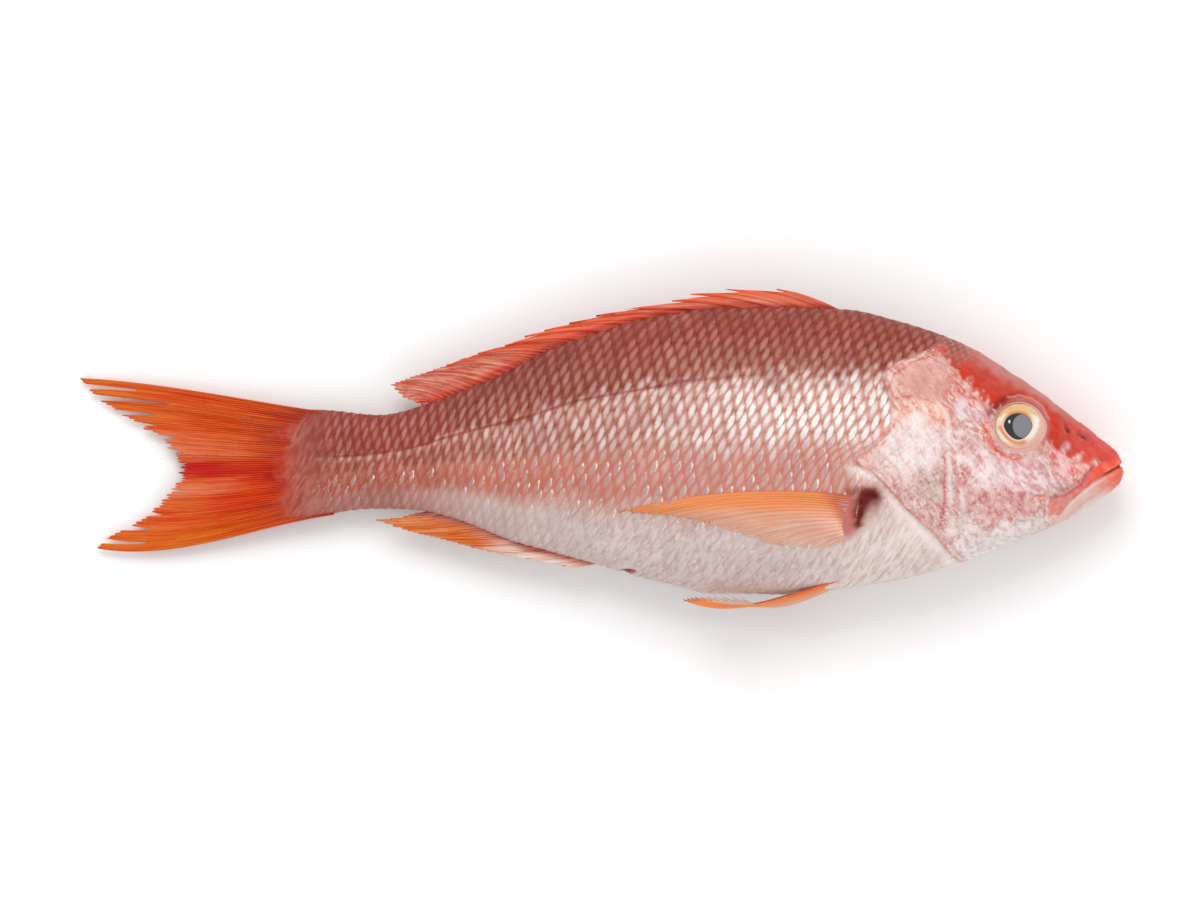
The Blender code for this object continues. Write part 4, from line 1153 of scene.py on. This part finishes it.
def lid_finish():
    """Smooth moist skin of the ring round the eye, with painted shade in the fold at its inner edge."""
    finish = Finish("eye_lid", roughness=0.32, coat_weight=0.3, coat_roughness=0.15)
    where, (_, y, _) = finish.place()
    over, _ = finish.pair("Rays")
    cloud = finish.noise(where, 260.0, 3.0, 0.6)
    colour = finish.mix((over + cloud * 0.3 - 0.15).rise(0.3, 0.75), LID_PINK, LID_PALE)
    top = ((y - EYE_MIDDLE.y / MM) / EYE_HALF_HEIGHT + cloud * 0.4).rise(0.3, 0.7)
    # Painted shade in the fold, deepest at the top.
    fold = (1 - abs(over - 0.62).rise(0.06, 0.18)) * (0.35 + top * 0.65)
    colour = finish.mix(fold, colour, LID_FOLD_SHADE)
    colour = finish.mix(cloud.rise(0.5, 0.72) * 0.35, colour, RED_FLECK)
    finish.feed("Base Color", colour)
    finish.bump(cloud, 0.0002, 0.5)
    return finish.material


def select(obj=None):
    """Leaves edit mode and selects this object alone, or none."""
    if bpy.context.mode != "OBJECT":
        bpy.ops.object.mode_set(mode="OBJECT")
    bpy.ops.object.select_all(action="DESELECT")
    if obj:
        bpy.context.view_layer.objects.active = obj
        obj.select_set(True)


def start_piece(name):
    """Names the shape just added, and reads its points."""
    obj = bpy.context.object
    obj.name = name
    obj.data.name = name
    obj.data.uv_layers[0].name = "OFBake"
    points = np.empty(len(obj.data.vertices) * 3)
    obj.data.vertices.foreach_get("co", points)
    return obj, points.reshape(-1, 3)


def grid_piece(name, columns, rows):
    """A flat grid as a new piece, and the shares, from 0 to 1, of its points both ways."""
    select()
    bpy.ops.mesh.primitive_grid_add(x_subdivisions=columns, y_subdivisions=rows, size=2.0)
    obj, flat = start_piece(name)
    return obj, (flat[:, 0] + 1) / 2, (flat[:, 1] + 1) / 2


def set_points(obj, points):
    obj.data.vertices.foreach_set("co", np.ascontiguousarray(points, dtype=np.float32).ravel())
    obj.data.update()


def set_map(obj, name, first, second):
    """Adds a UV map whose two numbers are given for each point."""
    corners = np.empty(len(obj.data.loops), dtype=np.int32)
    obj.data.loops.foreach_get("vertex_index", corners)
    layer = obj.data.uv_layers.new(name=name)
    pairs = np.stack([first[corners], second[corners]], axis=1)
    layer.data.foreach_set("uv", pairs.astype(np.float32).ravel())


def set_colour(obj, name, colours, strength):
    """Adds a colour attribute from a colour and a strength for each point."""
    layer = obj.data.color_attributes.new(name, "FLOAT_COLOR", "POINT")
    rgba = np.concatenate([colours, np.asarray(strength)[:, None]], axis=1)
    layer.data.foreach_set("color", rgba.astype(np.float32).ravel())


def close_up(obj, weld=True):
    """Joins the points where a piece meets itself, turns its faces outward and shades it smooth."""
    select(obj)
    bpy.ops.object.mode_set(mode="EDIT")
    bpy.ops.mesh.select_all(action="SELECT")
    if weld:
        bpy.ops.mesh.remove_doubles(threshold=2e-6)
        bpy.ops.mesh.select_all(action="SELECT")
    bpy.ops.mesh.normals_make_consistent(inside=False)
    bpy.ops.object.mode_set(mode="OBJECT")
    bpy.ops.object.shade_smooth()
    obj.select_set(False)


def dress(obj, material, slot, *nodes):
    """Gives a piece its finish and its place in the frame."""
    obj.data.materials.clear()
    obj.data.materials.append(material)
    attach(obj, "root")
    if nodes:
        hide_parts(*nodes)


def share_setting(name, description, default):
    return bpy.props.FloatProperty(
        name=name, description=description, default=default, min=0.0, max=1.0, subtype="FACTOR")


def colour_setting(name, description, default):
    return bpy.props.FloatVectorProperty(
        name=name, description=description, default=default, min=0.0, max=1.0, subtype="COLOR")


class FishSkinSettings(bpy.types.PropertyGroup):
    row_spacing: bpy.props.FloatProperty(
        name="Row Spacing", description="Distance between rows of scales up the flank",
        default=0.0042, min=0.002, max=0.01, subtype="DISTANCE", unit="LENGTH")
    scale_rise: bpy.props.FloatProperty(
        name="Scale Rise", description="How far a scale's free edge stands up",
        default=0.00034, min=0.0, max=0.001, precision=5, subtype="DISTANCE", unit="LENGTH")
    roughness: share_setting("Roughness", "Roughness of the skin under its wet film", 0.5)
    wetness: share_setting("Wetness", "Strength of the wet film over the skin", 0.12)


class FishFinSettings(bpy.types.PropertyGroup):
    thickness: bpy.props.FloatProperty(
        name="Ray Thickness", description="Thickness of a fin at its rays' roots",
        default=0.0016, min=0.0005, max=0.004, precision=4, subtype="DISTANCE", unit="LENGTH")
    roughness: share_setting("Roughness", "Roughness of the fins", 0.45)
    wetness: share_setting("Wetness", "Strength of the wet film over the fins", 0.1)


class FishEyeSettings(bpy.types.PropertyGroup):
    iris: colour_setting("Iris", "Colour of the iris", IRIS_IVORY)
    pupil: colour_setting("Pupil", "Colour of the pupil", PUPIL_BLACK)


class FishStageSettings(bpy.types.PropertyGroup):
    floor: colour_setting("Floor", "Colour of the floor", (0.93, 0.93, 0.93))
    lamp: bpy.props.FloatProperty(
        name="Lamp", description="Power of the large soft lamp", default=11.0, min=0.0, unit="POWER")
    sky: bpy.props.FloatProperty(
        name="Sky", description="Strength of the even light from all round", default=0.81, min=0.0)


class FISH_OT_skin(bpy.types.Operator):
    """Add the scaly skin of head and trunk"""
    bl_idname = "fish.add_skin"
    bl_label = "Add Skin"

    def execute(self, context):
        skin = Skin()
        material = skin_finish()
        start = 0
        for name, limit in SKIN_PARTS.items():
            end = min(int(np.searchsorted(skin.rings, limit)), len(skin.rings) - 1)
            self.add_part(skin, name, start, end, material)
            start = end
        return {"FINISHED"}

    def add_part(self, skin, name, start, end, material):
        obj, across, lengthwise = grid_piece(name, SKIN_SIDES, end - start)
        column = np.rint(across * SKIN_SIDES).astype(int)
        ring = start + np.rint(lengthwise * (end - start)).astype(int)
        here = (ring, column)
        set_points(obj, skin.points[here])
        set_map(obj, "Scales", skin.count[here], skin.row[here])
        marks = np.stack([field[here] for field in (skin.mottle, skin.red, skin.white)], axis=1)
        set_colour(obj, "Dark", skin.dark[here], skin.contrast[here])
        set_colour(obj, "Pale", skin.pale[here], skin.corners[here])
        set_colour(obj, "Marks", np.clip(marks, 0, 1), skin.trunk[here])
        facing = obj.data.attributes.new("Facing", "FLOAT_VECTOR", "POINT")
        facing.data.foreach_set("vector", skin.normals[here].astype(np.float32).ravel())
        close_up(obj)
        normals = np.empty(len(obj.data.vertices) * 3, dtype=np.float32)
        obj.data.attributes["Facing"].data.foreach_get("vector", normals)
        obj.data.normals_split_custom_set_from_vertices(normals.reshape(-1, 3).tolist())
        obj.data.attributes.remove(obj.data.attributes["Facing"])
        dress(obj, material, "skin", "body")


def ray_fan(roots, tips, bow):
    """Points of a flat fin of given ray roots and tips, by ray number and share of length."""
    roots = np.array(roots, float)
    tips = np.array(tips, float)
    numbers = np.arange(len(roots))

    def at(number, share):
        root = [np.interp(number, numbers, roots[:, k]) for k in range(2)]
        tip = [np.interp(number, numbers, tips[:, k]) for k in range(2)]
        station = root[0] + (tip[0] - root[0]) * share
        height = root[1] + (tip[1] - root[1]) * share + bow * 4 * share * (1 - share)
        return station, height, middle_plane(station)

    return at


def thicken(obj, factors, thickness):
    """Gives a sheet its thickness, which a factor for each point scales."""
    group = obj.vertex_groups.new(name="thickness")
    levels = np.clip(np.rint(factors * THICKNESS_LEVELS), 1, THICKNESS_LEVELS).astype(int)
    for level in np.unique(levels):
        group.add(np.nonzero(levels == level)[0].tolist(), level / THICKNESS_LEVELS, "REPLACE")
    solid = obj.modifiers.new("thickness", "SOLIDIFY")
    solid.thickness = thickness
    solid.offset = 0.0
    solid.vertex_group = "thickness"
    solid.use_rim = True
    select(obj)
    bpy.ops.object.modifier_apply(modifier=solid.name)
    bpy.ops.object.shade_smooth()
    obj.select_set(False)


class Shades:
    """Colours of a fin's membrane and rays, point by point."""

    def __init__(self, count, shades):
        self.web = np.tile(np.array(shades[0]), (count, 1))
        self.ray = np.tile(np.array(shades[1]), (count, 1))

    def lay(self, shades, amount):
        """Lays a pair of shades over the colours."""
        amount = np.clip(amount, 0, 1)[:, None]
        for layer, colour in zip((self.web, self.ray), shades):
            layer += (np.array(colour) - layer) * amount

    def give(self, obj, strength=1.0, lines=1.0):
        """Puts the colours on a piece, with how solid it is and how dark its lines are."""
        count = len(self.web)
        set_colour(obj, "Dark", self.web, np.broadcast_to(strength, count))
        set_colour(obj, "Pale", self.ray, np.broadcast_to(lines, count))


class FISH_OT_back_and_vent_fins(bpy.types.Operator):
    """Add the fins of the back and the vent, folded down"""
    bl_idname = "fish.add_back_and_vent_fins"
    bl_label = "Add Back and Vent Fins"

    def execute(self, context):
        material = fin_finish("back_fin_skin")
        count = len(BACK_FIN_SPINES)
        roots = [BACK_FIN_FIRST + BACK_FIN_PITCH * i for i in range(count)] + BACK_FIN_SOFT_ROOTS
        roots = [(station, float(back_line(station)) - FIN_ROOT_DEPTH) for station in roots]
        tips = BACK_FIN_SPINES + BACK_FIN_SOFT_TIPS
        self.add_fin("back_fin", roots, tips, BACK_FIN_BOW, count, self.back_shades, material)
        roots = [(station, float(belly_line(station)) + FIN_ROOT_DEPTH) for station in VENT_FIN_ROOTS]
        self.add_fin("vent_fin", roots, VENT_FIN_TIPS, VENT_FIN_BOW, 2, self.vent_shades, material)
        return {"FINISHED"}

    def add_fin(self, name, roots, tips, bow, spines, shades, material):
        rays = len(roots) - 1
        obj, across, out = grid_piece(name, rays * BACK_FIN_GRID[0], BACK_FIN_GRID[1])
        number = across * rays
        between = number - np.floor(number)
        spiny = fall(number, spines - 2.0, spines + 0.5)
        saw = rise(between, 0.0, 0.16) * (1 - between) ** 0.8
        fringe = 0.06 * (1 - np.abs(np.cos(math.pi * number * 3)))
        share = out * (1 - spiny * 0.26 * saw - (1 - spiny) * fringe)
        station, height, level = ray_fan(roots, tips, bow)(number, share)
        level = level + 0.35 * np.sin(number * 5.1) * out
        set_points(obj, in_world(station, height, level))
        step = 1 + 2 * (1 - spiny)
        set_map(obj, "Rays", number * step, out * 4)
        colours = shades(number, out, station, height)
        colours.give(obj)
        near = np.abs(number * step - np.rint(number * step)) * 2
        factors = (1 - 0.6 * rise(near, 0.2, 0.7)) * (1 - 0.65 * out)
        thicken(obj, factors, bpy.context.scene.fish_fins.thickness * BACK_FIN_THICKNESS)
        dress(obj, material, "skin", "body")

    def back_shades(self, number, out, station, height):
        colours = Shades(len(out), BACK_FIN)
        wave = 0.6 * waves(number / 2, out, 51)
        above = height - back_line(station)
        colours.lay(BACK_FIN_FRONT, fall(number, 3.0, 7.0))
        colours.lay(BACK_FIN_EDGE, rise(above + wave, 2.0, 5.5))
        soft = rise(number + wave, 9.5, 12.5)
        colours.lay(BACK_FIN_SOFT, soft * rise(above, 1.0, 4.0))
        colours.lay(BACK_FIN_FOOT, 0.9 * fall(above + wave, 0.4, 2.2))
        return colours

    def vent_shades(self, number, out, station, height):
        colours = Shades(len(out), VENT_FIN)
        wave = 0.6 * waves(number / 2, out, 52)
        colours.lay(VENT_FIN_FRONT, fall(station + 3 * wave, 218.0, 238.0))
        hanging = belly_line(station) - height
        colours.lay(VENT_FIN_FOOT, fall(hanging + wave, 0.5, 3.5))
        return colours


class FISH_OT_tail_fin(bpy.types.Operator):
    """Add the forked tail fin with its fine rays"""
    bl_idname = "fish.add_tail_fin"
    bl_label = "Add Tail Fin"

    def execute(self, context):
        draw = random.Random(17)
        obj, across, out = grid_piece("tail_fin", *TAIL_FIN_GRID)
        cuts = np.array([draw.random() for _ in range(TAIL_RAYS + 1)])
        number = across * TAIL_RAYS
        strand = np.floor(number).astype(int)
        within = np.abs(number - strand - 0.5) * 2
        middle = np.sin(math.pi * across)
        reach = 1 - (0.035 * cuts[np.minimum(strand, TAIL_RAYS)] + 0.03 * within**2) * (0.1 + middle)
        for split, depth, width in TAIL_SPLITS:
            reach -= depth * fall(np.abs(across - split), width * 0.2, width)
        tip_height = TAIL_TIP_TOP + across * (TAIL_TIP_FOOT - TAIL_TIP_TOP)
        root_height = TAIL_ROOT_TOP + across * (TAIL_ROOT_FOOT - TAIL_ROOT_TOP)
        bow = TAIL_UPPER_BOW * (1 - across) ** TAIL_BOW_FADE + TAIL_LOWER_BOW * across**TAIL_BOW_FADE
        share = out * reach
        station = TAIL_ROOT_STATION + (tail_edge(tip_height) - TAIL_ROOT_STATION) * share
        height = root_height + (tip_height - root_height) * share
        height = height + bow * 27 / 4 * share * share * (1 - share)
        level = middle_plane(station) + 0.5 * np.sin(across * 21) * out
        level = level + 0.25 * np.sin(across * 57 + 2) * out
        set_points(obj, in_world(station, height, np.maximum(level, TAIL_FIN_LOWEST)))
        set_map(obj, "Rays", number, out * 5)
        self.shades(across, out, station).give(obj)
        factors = (1 - 0.55 * rise(within, 0.3, 0.9)) * (1 - 0.72 * out)
        thicken(obj, factors, context.scene.fish_fins.thickness * TAIL_FIN_THICKNESS)
        dress(obj, fin_finish("tail_fin_skin"), "skin", "body")
        return {"FINISHED"}

    def shades(self, across, out, station):
        place = across + 0.012 * waves(across * 9, out * 2, 61)
        colours = Shades(len(out), TAIL_ORANGE)
        colours.lay(TAIL_FLAME, ridge(place - 0.72, 0.16) * fall(out, 0.55, 0.85))
        flame = 0.8 * ridge(place - 0.05, 0.03) * span(out, 0.4, 0.6, 0.8, 0.95)
        colours.lay(TAIL_FLAME, flame)
        colours.lay(TAIL_GOLD, 0.9 * rise(place, 0.84, 0.94) * rise(out, 0.25, 0.6))
        colours.lay(TAIL_GOLD, 0.8 * fall(place, 0.10, 0.3) * rise(out, 0.7, 0.95))
        core = 0.055 + 0.012 * waves(across * 30, out * 3, 65)
        colours.lay(TAIL_RED, ridge(place - 0.535, core) * (0.8 + 0.2 * rise(out, 0.6, 0.9)))
        pale = (0.75 + 0.25 * waves(across * 14, out * 2, 63)) * rise(out, 0.45, 0.85)
        colours.lay(TAIL_PALE, pale * (ridge(place - 0.40, 0.07) + ridge(place - 0.66, 0.045)))
        colours.lay(TAIL_RED, 0.8 * ridge(place - 0.60, 0.05) * fall(out, 0.35, 0.6))
        colours.lay(TAIL_ROOT, fall(station + 7 * waves(across * 12, out, 62), 298.0, 316.0))
        return colours


def from_roots(roots, tips, across, share):
    """Places this share of the way from a fin's roots to its tips."""
    return [root + (tip - root) * share for root, tip in zip(along(roots)(across), along(tips)(across))]


class FISH_OT_paired_fins(bpy.types.Operator):
    """Add the breast and belly fins of both sides"""
    bl_idname = "fish.add_paired_fins"
    bl_label = "Add Breast and Belly Fins"

    def execute(self, context):
        breast = fin_finish("breast_fin_skin", thin=True)
        belly = fin_finish("belly_fin_skin")
        for side, word in ((1, "right"), (-1, "left")):
            self.add_breast_fin("breast_fin_" + word, side, breast)
            self.add_belly_fin("belly_fin_" + word, side, belly)
        return {"FINISHED"}

    def add_breast_fin(self, name, side, material):
        obj, across, out = grid_piece(name, *BREAST_FIN_GRID)
        number = across * BREAST_FIN_RAYS
        fringe = 0.02 * np.abs(np.sin(math.pi * number)) + 0.02 * np.sin(number * 2.3) ** 2
        share = out * (1 - fringe)
        station, height = from_roots(BREAST_FIN_ROOTS, BREAST_FIN_TIPS, across, share)
        height = height + BREAST_FIN_BOW * (1 - across) * 4 * share * (1 - share)
        above = 0.15 + 0.9 * np.sin(math.pi * np.clip(across * 0.9 + 0.05, 0, 1)) * (1 - 0.7 * out)
        above = above + 0.06 * np.cos(2 * math.pi * number) * (1 - 0.5 * out)
        above = above - 0.8 * fall(out, 0.0, 0.06)
        level = middle_plane(station) + side * (flank(station, height) + above)
        set_points(obj, in_world(station, height, np.maximum(level, BREAST_FIN_LOWEST)))
        set_map(obj, "Rays", across * BREAST_FIN_LINES, out * 5)
        low = rise(across + 0.20 * out + 0.04 * waves(across * 6, out * 2, 71), 0.30, 0.80)
        colours = Shades(len(out), BREAST_FIN)
        colours.lay(BREAST_FIN_LOW, low)
        colours.lay(BREAST_FIN_ROOT, fall(out, 0.08, 0.20))
        colours.lay(LOBE, fall(out, 0.07, 0.12) * rise(across, 0.06, 0.25))
        solid = 0.95 - 0.40 * low * rise(out, 0.10, 0.5) - 0.25 * rise(out, 0.75, 1.0)
        colours.give(obj, solid, 0.55)
        near = np.abs(number - np.rint(number)) * 2
        factors = (1 - 0.5 * rise(near, 0.2, 0.8)) * (1 - 0.6 * out)
        thicken(obj, factors, bpy.context.scene.fish_fins.thickness * BREAST_FIN_THICKNESS)
        dress(obj, material, "skin", "body")

    def add_belly_fin(self, name, side, material):
        obj, across, out = grid_piece(name, *BELLY_FIN_GRID)
        number = across * BELLY_FIN_RAYS
        share = out * (1 - 0.05 * np.abs(np.sin(math.pi * number)))
        station, height, away = from_roots(BELLY_FIN_ROOTS, BELLY_FIN_TIPS, across, share)
        height = height + BELLY_FIN_BOW * 27 / 4 * share * share * (1 - share)
        level = middle_plane(station) + side * away
        set_points(obj, in_world(station, height, level))
        set_map(obj, "Rays", number, out * 4)
        colours = Shades(len(out), BELLY_FIN)
        colours.lay(BELLY_FIN_PALE, rise(out, 0.7, 1.0) * rise(across, 0.3, 0.7))
        colours.lay(BELLY_FIN_PALE, 0.7 * rise(across, 0.55, 1.0))
        colours.lay(BELLY_FIN_ROOT, fall(across, 0.1, 0.6) * fall(out, 0.35, 0.7))
        colours.give(obj, 1.0, 0.5)
        thicken(obj, 1 - 0.6 * out, bpy.context.scene.fish_fins.thickness * BELLY_FIN_THICKNESS)
        dress(obj, material, "skin", "body")


class FISH_OT_eyes(bpy.types.Operator):
    """Add the eyes and the rings of skin round them"""
    bl_idname = "fish.add_eyes"
    bl_label = "Add Eyes"

    def execute(self, context):
        eye = eye_finish()
        lid = lid_finish()
        for side, word in ((1, "right"), (-1, "left")):
            self.add_eye("eyeball_" + word, side, eye, "eye_" + word)
            self.add_lid("eye_lid_" + word, side, lid)
        return {"FINISHED"}

    def add_eye(self, name, side, material, node):
        select()
        bpy.ops.mesh.primitive_uv_sphere_add(segments=96, ring_count=64, radius=1.0)
        obj, ball = start_piece(name)
        station = EYE_STATION - EYE_HALF_LENGTH * ball[:, 0]
        height = EYE_HEIGHT + EYE_HALF_HEIGHT * ball[:, 1]
        swell = np.where(ball[:, 2] > 0, 2.6, 3.2) * ball[:, 2]
        level = middle_plane(station) + side * (flank(station, height) - 0.3 + swell)
        set_points(obj, in_world(station, height, level))
        close_up(obj, weld=False)
        dress(obj, material, "eye", node)

    def add_lid(self, name, side, material):
        obj, round_eye, over = grid_piece(name, *EYE_LID_GRID)
        angle = 2 * math.pi * round_eye
        bead = math.pi * (1 - over)
        thick = 0.09 + 0.03 * np.cos(angle + 0.8)
        reach = 1.02 + thick * np.cos(bead)
        station = EYE_STATION - EYE_HALF_LENGTH * reach * np.cos(angle)
        height = EYE_HEIGHT + EYE_HALF_HEIGHT * reach * np.sin(angle)
        swell = 0.1 + 0.85 * np.sin(bead)
        level = middle_plane(station) + side * (flank(station, height) + swell)
        set_points(obj, in_world(station, height, level))
        set_map(obj, "Rays", over, round_eye * 6)
        close_up(obj)
        dress(obj, material, "skin")


class FISH_OT_stage(bpy.types.Operator):
    """Add the floor, the lights and the camera"""
    bl_idname = "fish.add_stage"
    bl_label = "Add Stage"

    def execute(self, context):
        settings = context.scene.fish_stage
        select()
        bpy.ops.mesh.primitive_plane_add(size=FLOOR_SIZE, location=(0.0, 0.0, 0.0))
        floor = context.object
        floor.name = "floor"
        finish = Finish("pale_floor", roughness=0.7, specular_ior_level=0.2)
        where, _ = finish.place()
        tone = finish.noise(where, 3.0, 2.0, 0.5)
        paler = tuple(min(1.0, channel * 1.02) for channel in settings.floor)
        finish.feed("Base Color", finish.mix(tone, tuple(settings.floor), paler))
        floor.data.materials.append(finish.material)
        for name, (place, size, share) in LAMPS.items():
            self.add_lamp(name, place, size, settings.lamp * share)
        world = bpy.data.worlds.new("pale_studio")
        world.use_nodes = True
        background = world.node_tree.nodes["Background"]
        background.inputs["Color"].default_value = (1.0, 1.0, 1.0, 1.0)
        background.inputs["Strength"].default_value = settings.sky
        context.scene.world = world
        context.scene.view_settings.view_transform = "Standard"
        self.add_camera(context)
        return {"FINISHED"}

    def add_lamp(self, name, place, size, power):
        bpy.ops.object.light_add(type="AREA", location=place)
        lamp = bpy.context.object
        lamp.name = name
        lamp.data.shape = "DISK"
        lamp.data.size = size
        lamp.data.energy = power
        aim = Vector((0.0, 0.0, 0.02)) - Vector(place)
        lamp.rotation_euler = aim.to_track_quat("-Z", "Y").to_euler()

    def add_camera(self, context):
        half_picture = HALF_PICTURE_PIXELS * MILLIMETRES_PER_PIXEL * MM
        distance = half_picture / (CAMERA_SENSOR / 2 / CAMERA_LENS)
        level = FLOOR_Z + PICTURE_LEVEL * MM
        place = (PICTURE_MIDDLE_X * MM, PICTURE_MIDDLE_Y * MM, level + distance)
        bpy.ops.object.camera_add(location=place, rotation=(0.0, 0.0, 0.0))
        camera = context.object
        camera.name = "camera"
        camera.data.lens = CAMERA_LENS
        camera.data.sensor_width = CAMERA_SENSOR
        camera.data.dof.use_dof = False
        context.scene.camera = camera


class FISH_PT_panel(bpy.types.Panel):
    bl_idname = "FISH_PT_panel"
    bl_label = "Whole Raw Fish"
    bl_space_type = "VIEW_3D"
    bl_region_type = "UI"
    bl_category = "Fish"

    def draw(self, context):
        layout = self.layout
        scene = context.scene
        for group in (scene.fish_skin, scene.fish_fins, scene.fish_eyes, scene.fish_stage):
            box = layout.box()
            for name in group.__annotations__:
                box.prop(group, name)
        for operator in OPERATORS:
            layout.operator(operator.bl_idname)


OPERATORS = [
    FISH_OT_skin, FISH_OT_back_and_vent_fins, FISH_OT_tail_fin, FISH_OT_paired_fins,
    FISH_OT_eyes, FISH_OT_stage,
]
SETTINGS = {
    "fish_skin": FishSkinSettings, "fish_fins": FishFinSettings,
    "fish_eyes": FishEyeSettings, "fish_stage": FishStageSettings,
}


def register():
    for name, group in SETTINGS.items():
        bpy.utils.register_class(group)
        setattr(bpy.types.Scene, name, bpy.props.PointerProperty(type=group))
    for operator in OPERATORS:
        bpy.utils.register_class(operator)
    bpy.utils.register_class(FISH_PT_panel)


def unregister():
    bpy.utils.unregister_class(FISH_PT_panel)
    for operator in reversed(OPERATORS):
        bpy.utils.unregister_class(operator)
    for name, group in reversed(SETTINGS.items()):
        delattr(bpy.types.Scene, name)
        bpy.utils.unregister_class(group)


def main():
    register()
    bpy.ops.fish.add_skin()
    bpy.ops.fish.add_back_and_vent_fins()
    bpy.ops.fish.add_tail_fin()
    bpy.ops.fish.add_paired_fins()
    bpy.ops.fish.add_eyes()
    bpy.ops.fish.add_stage()


if __name__ == "__main__":
    main()
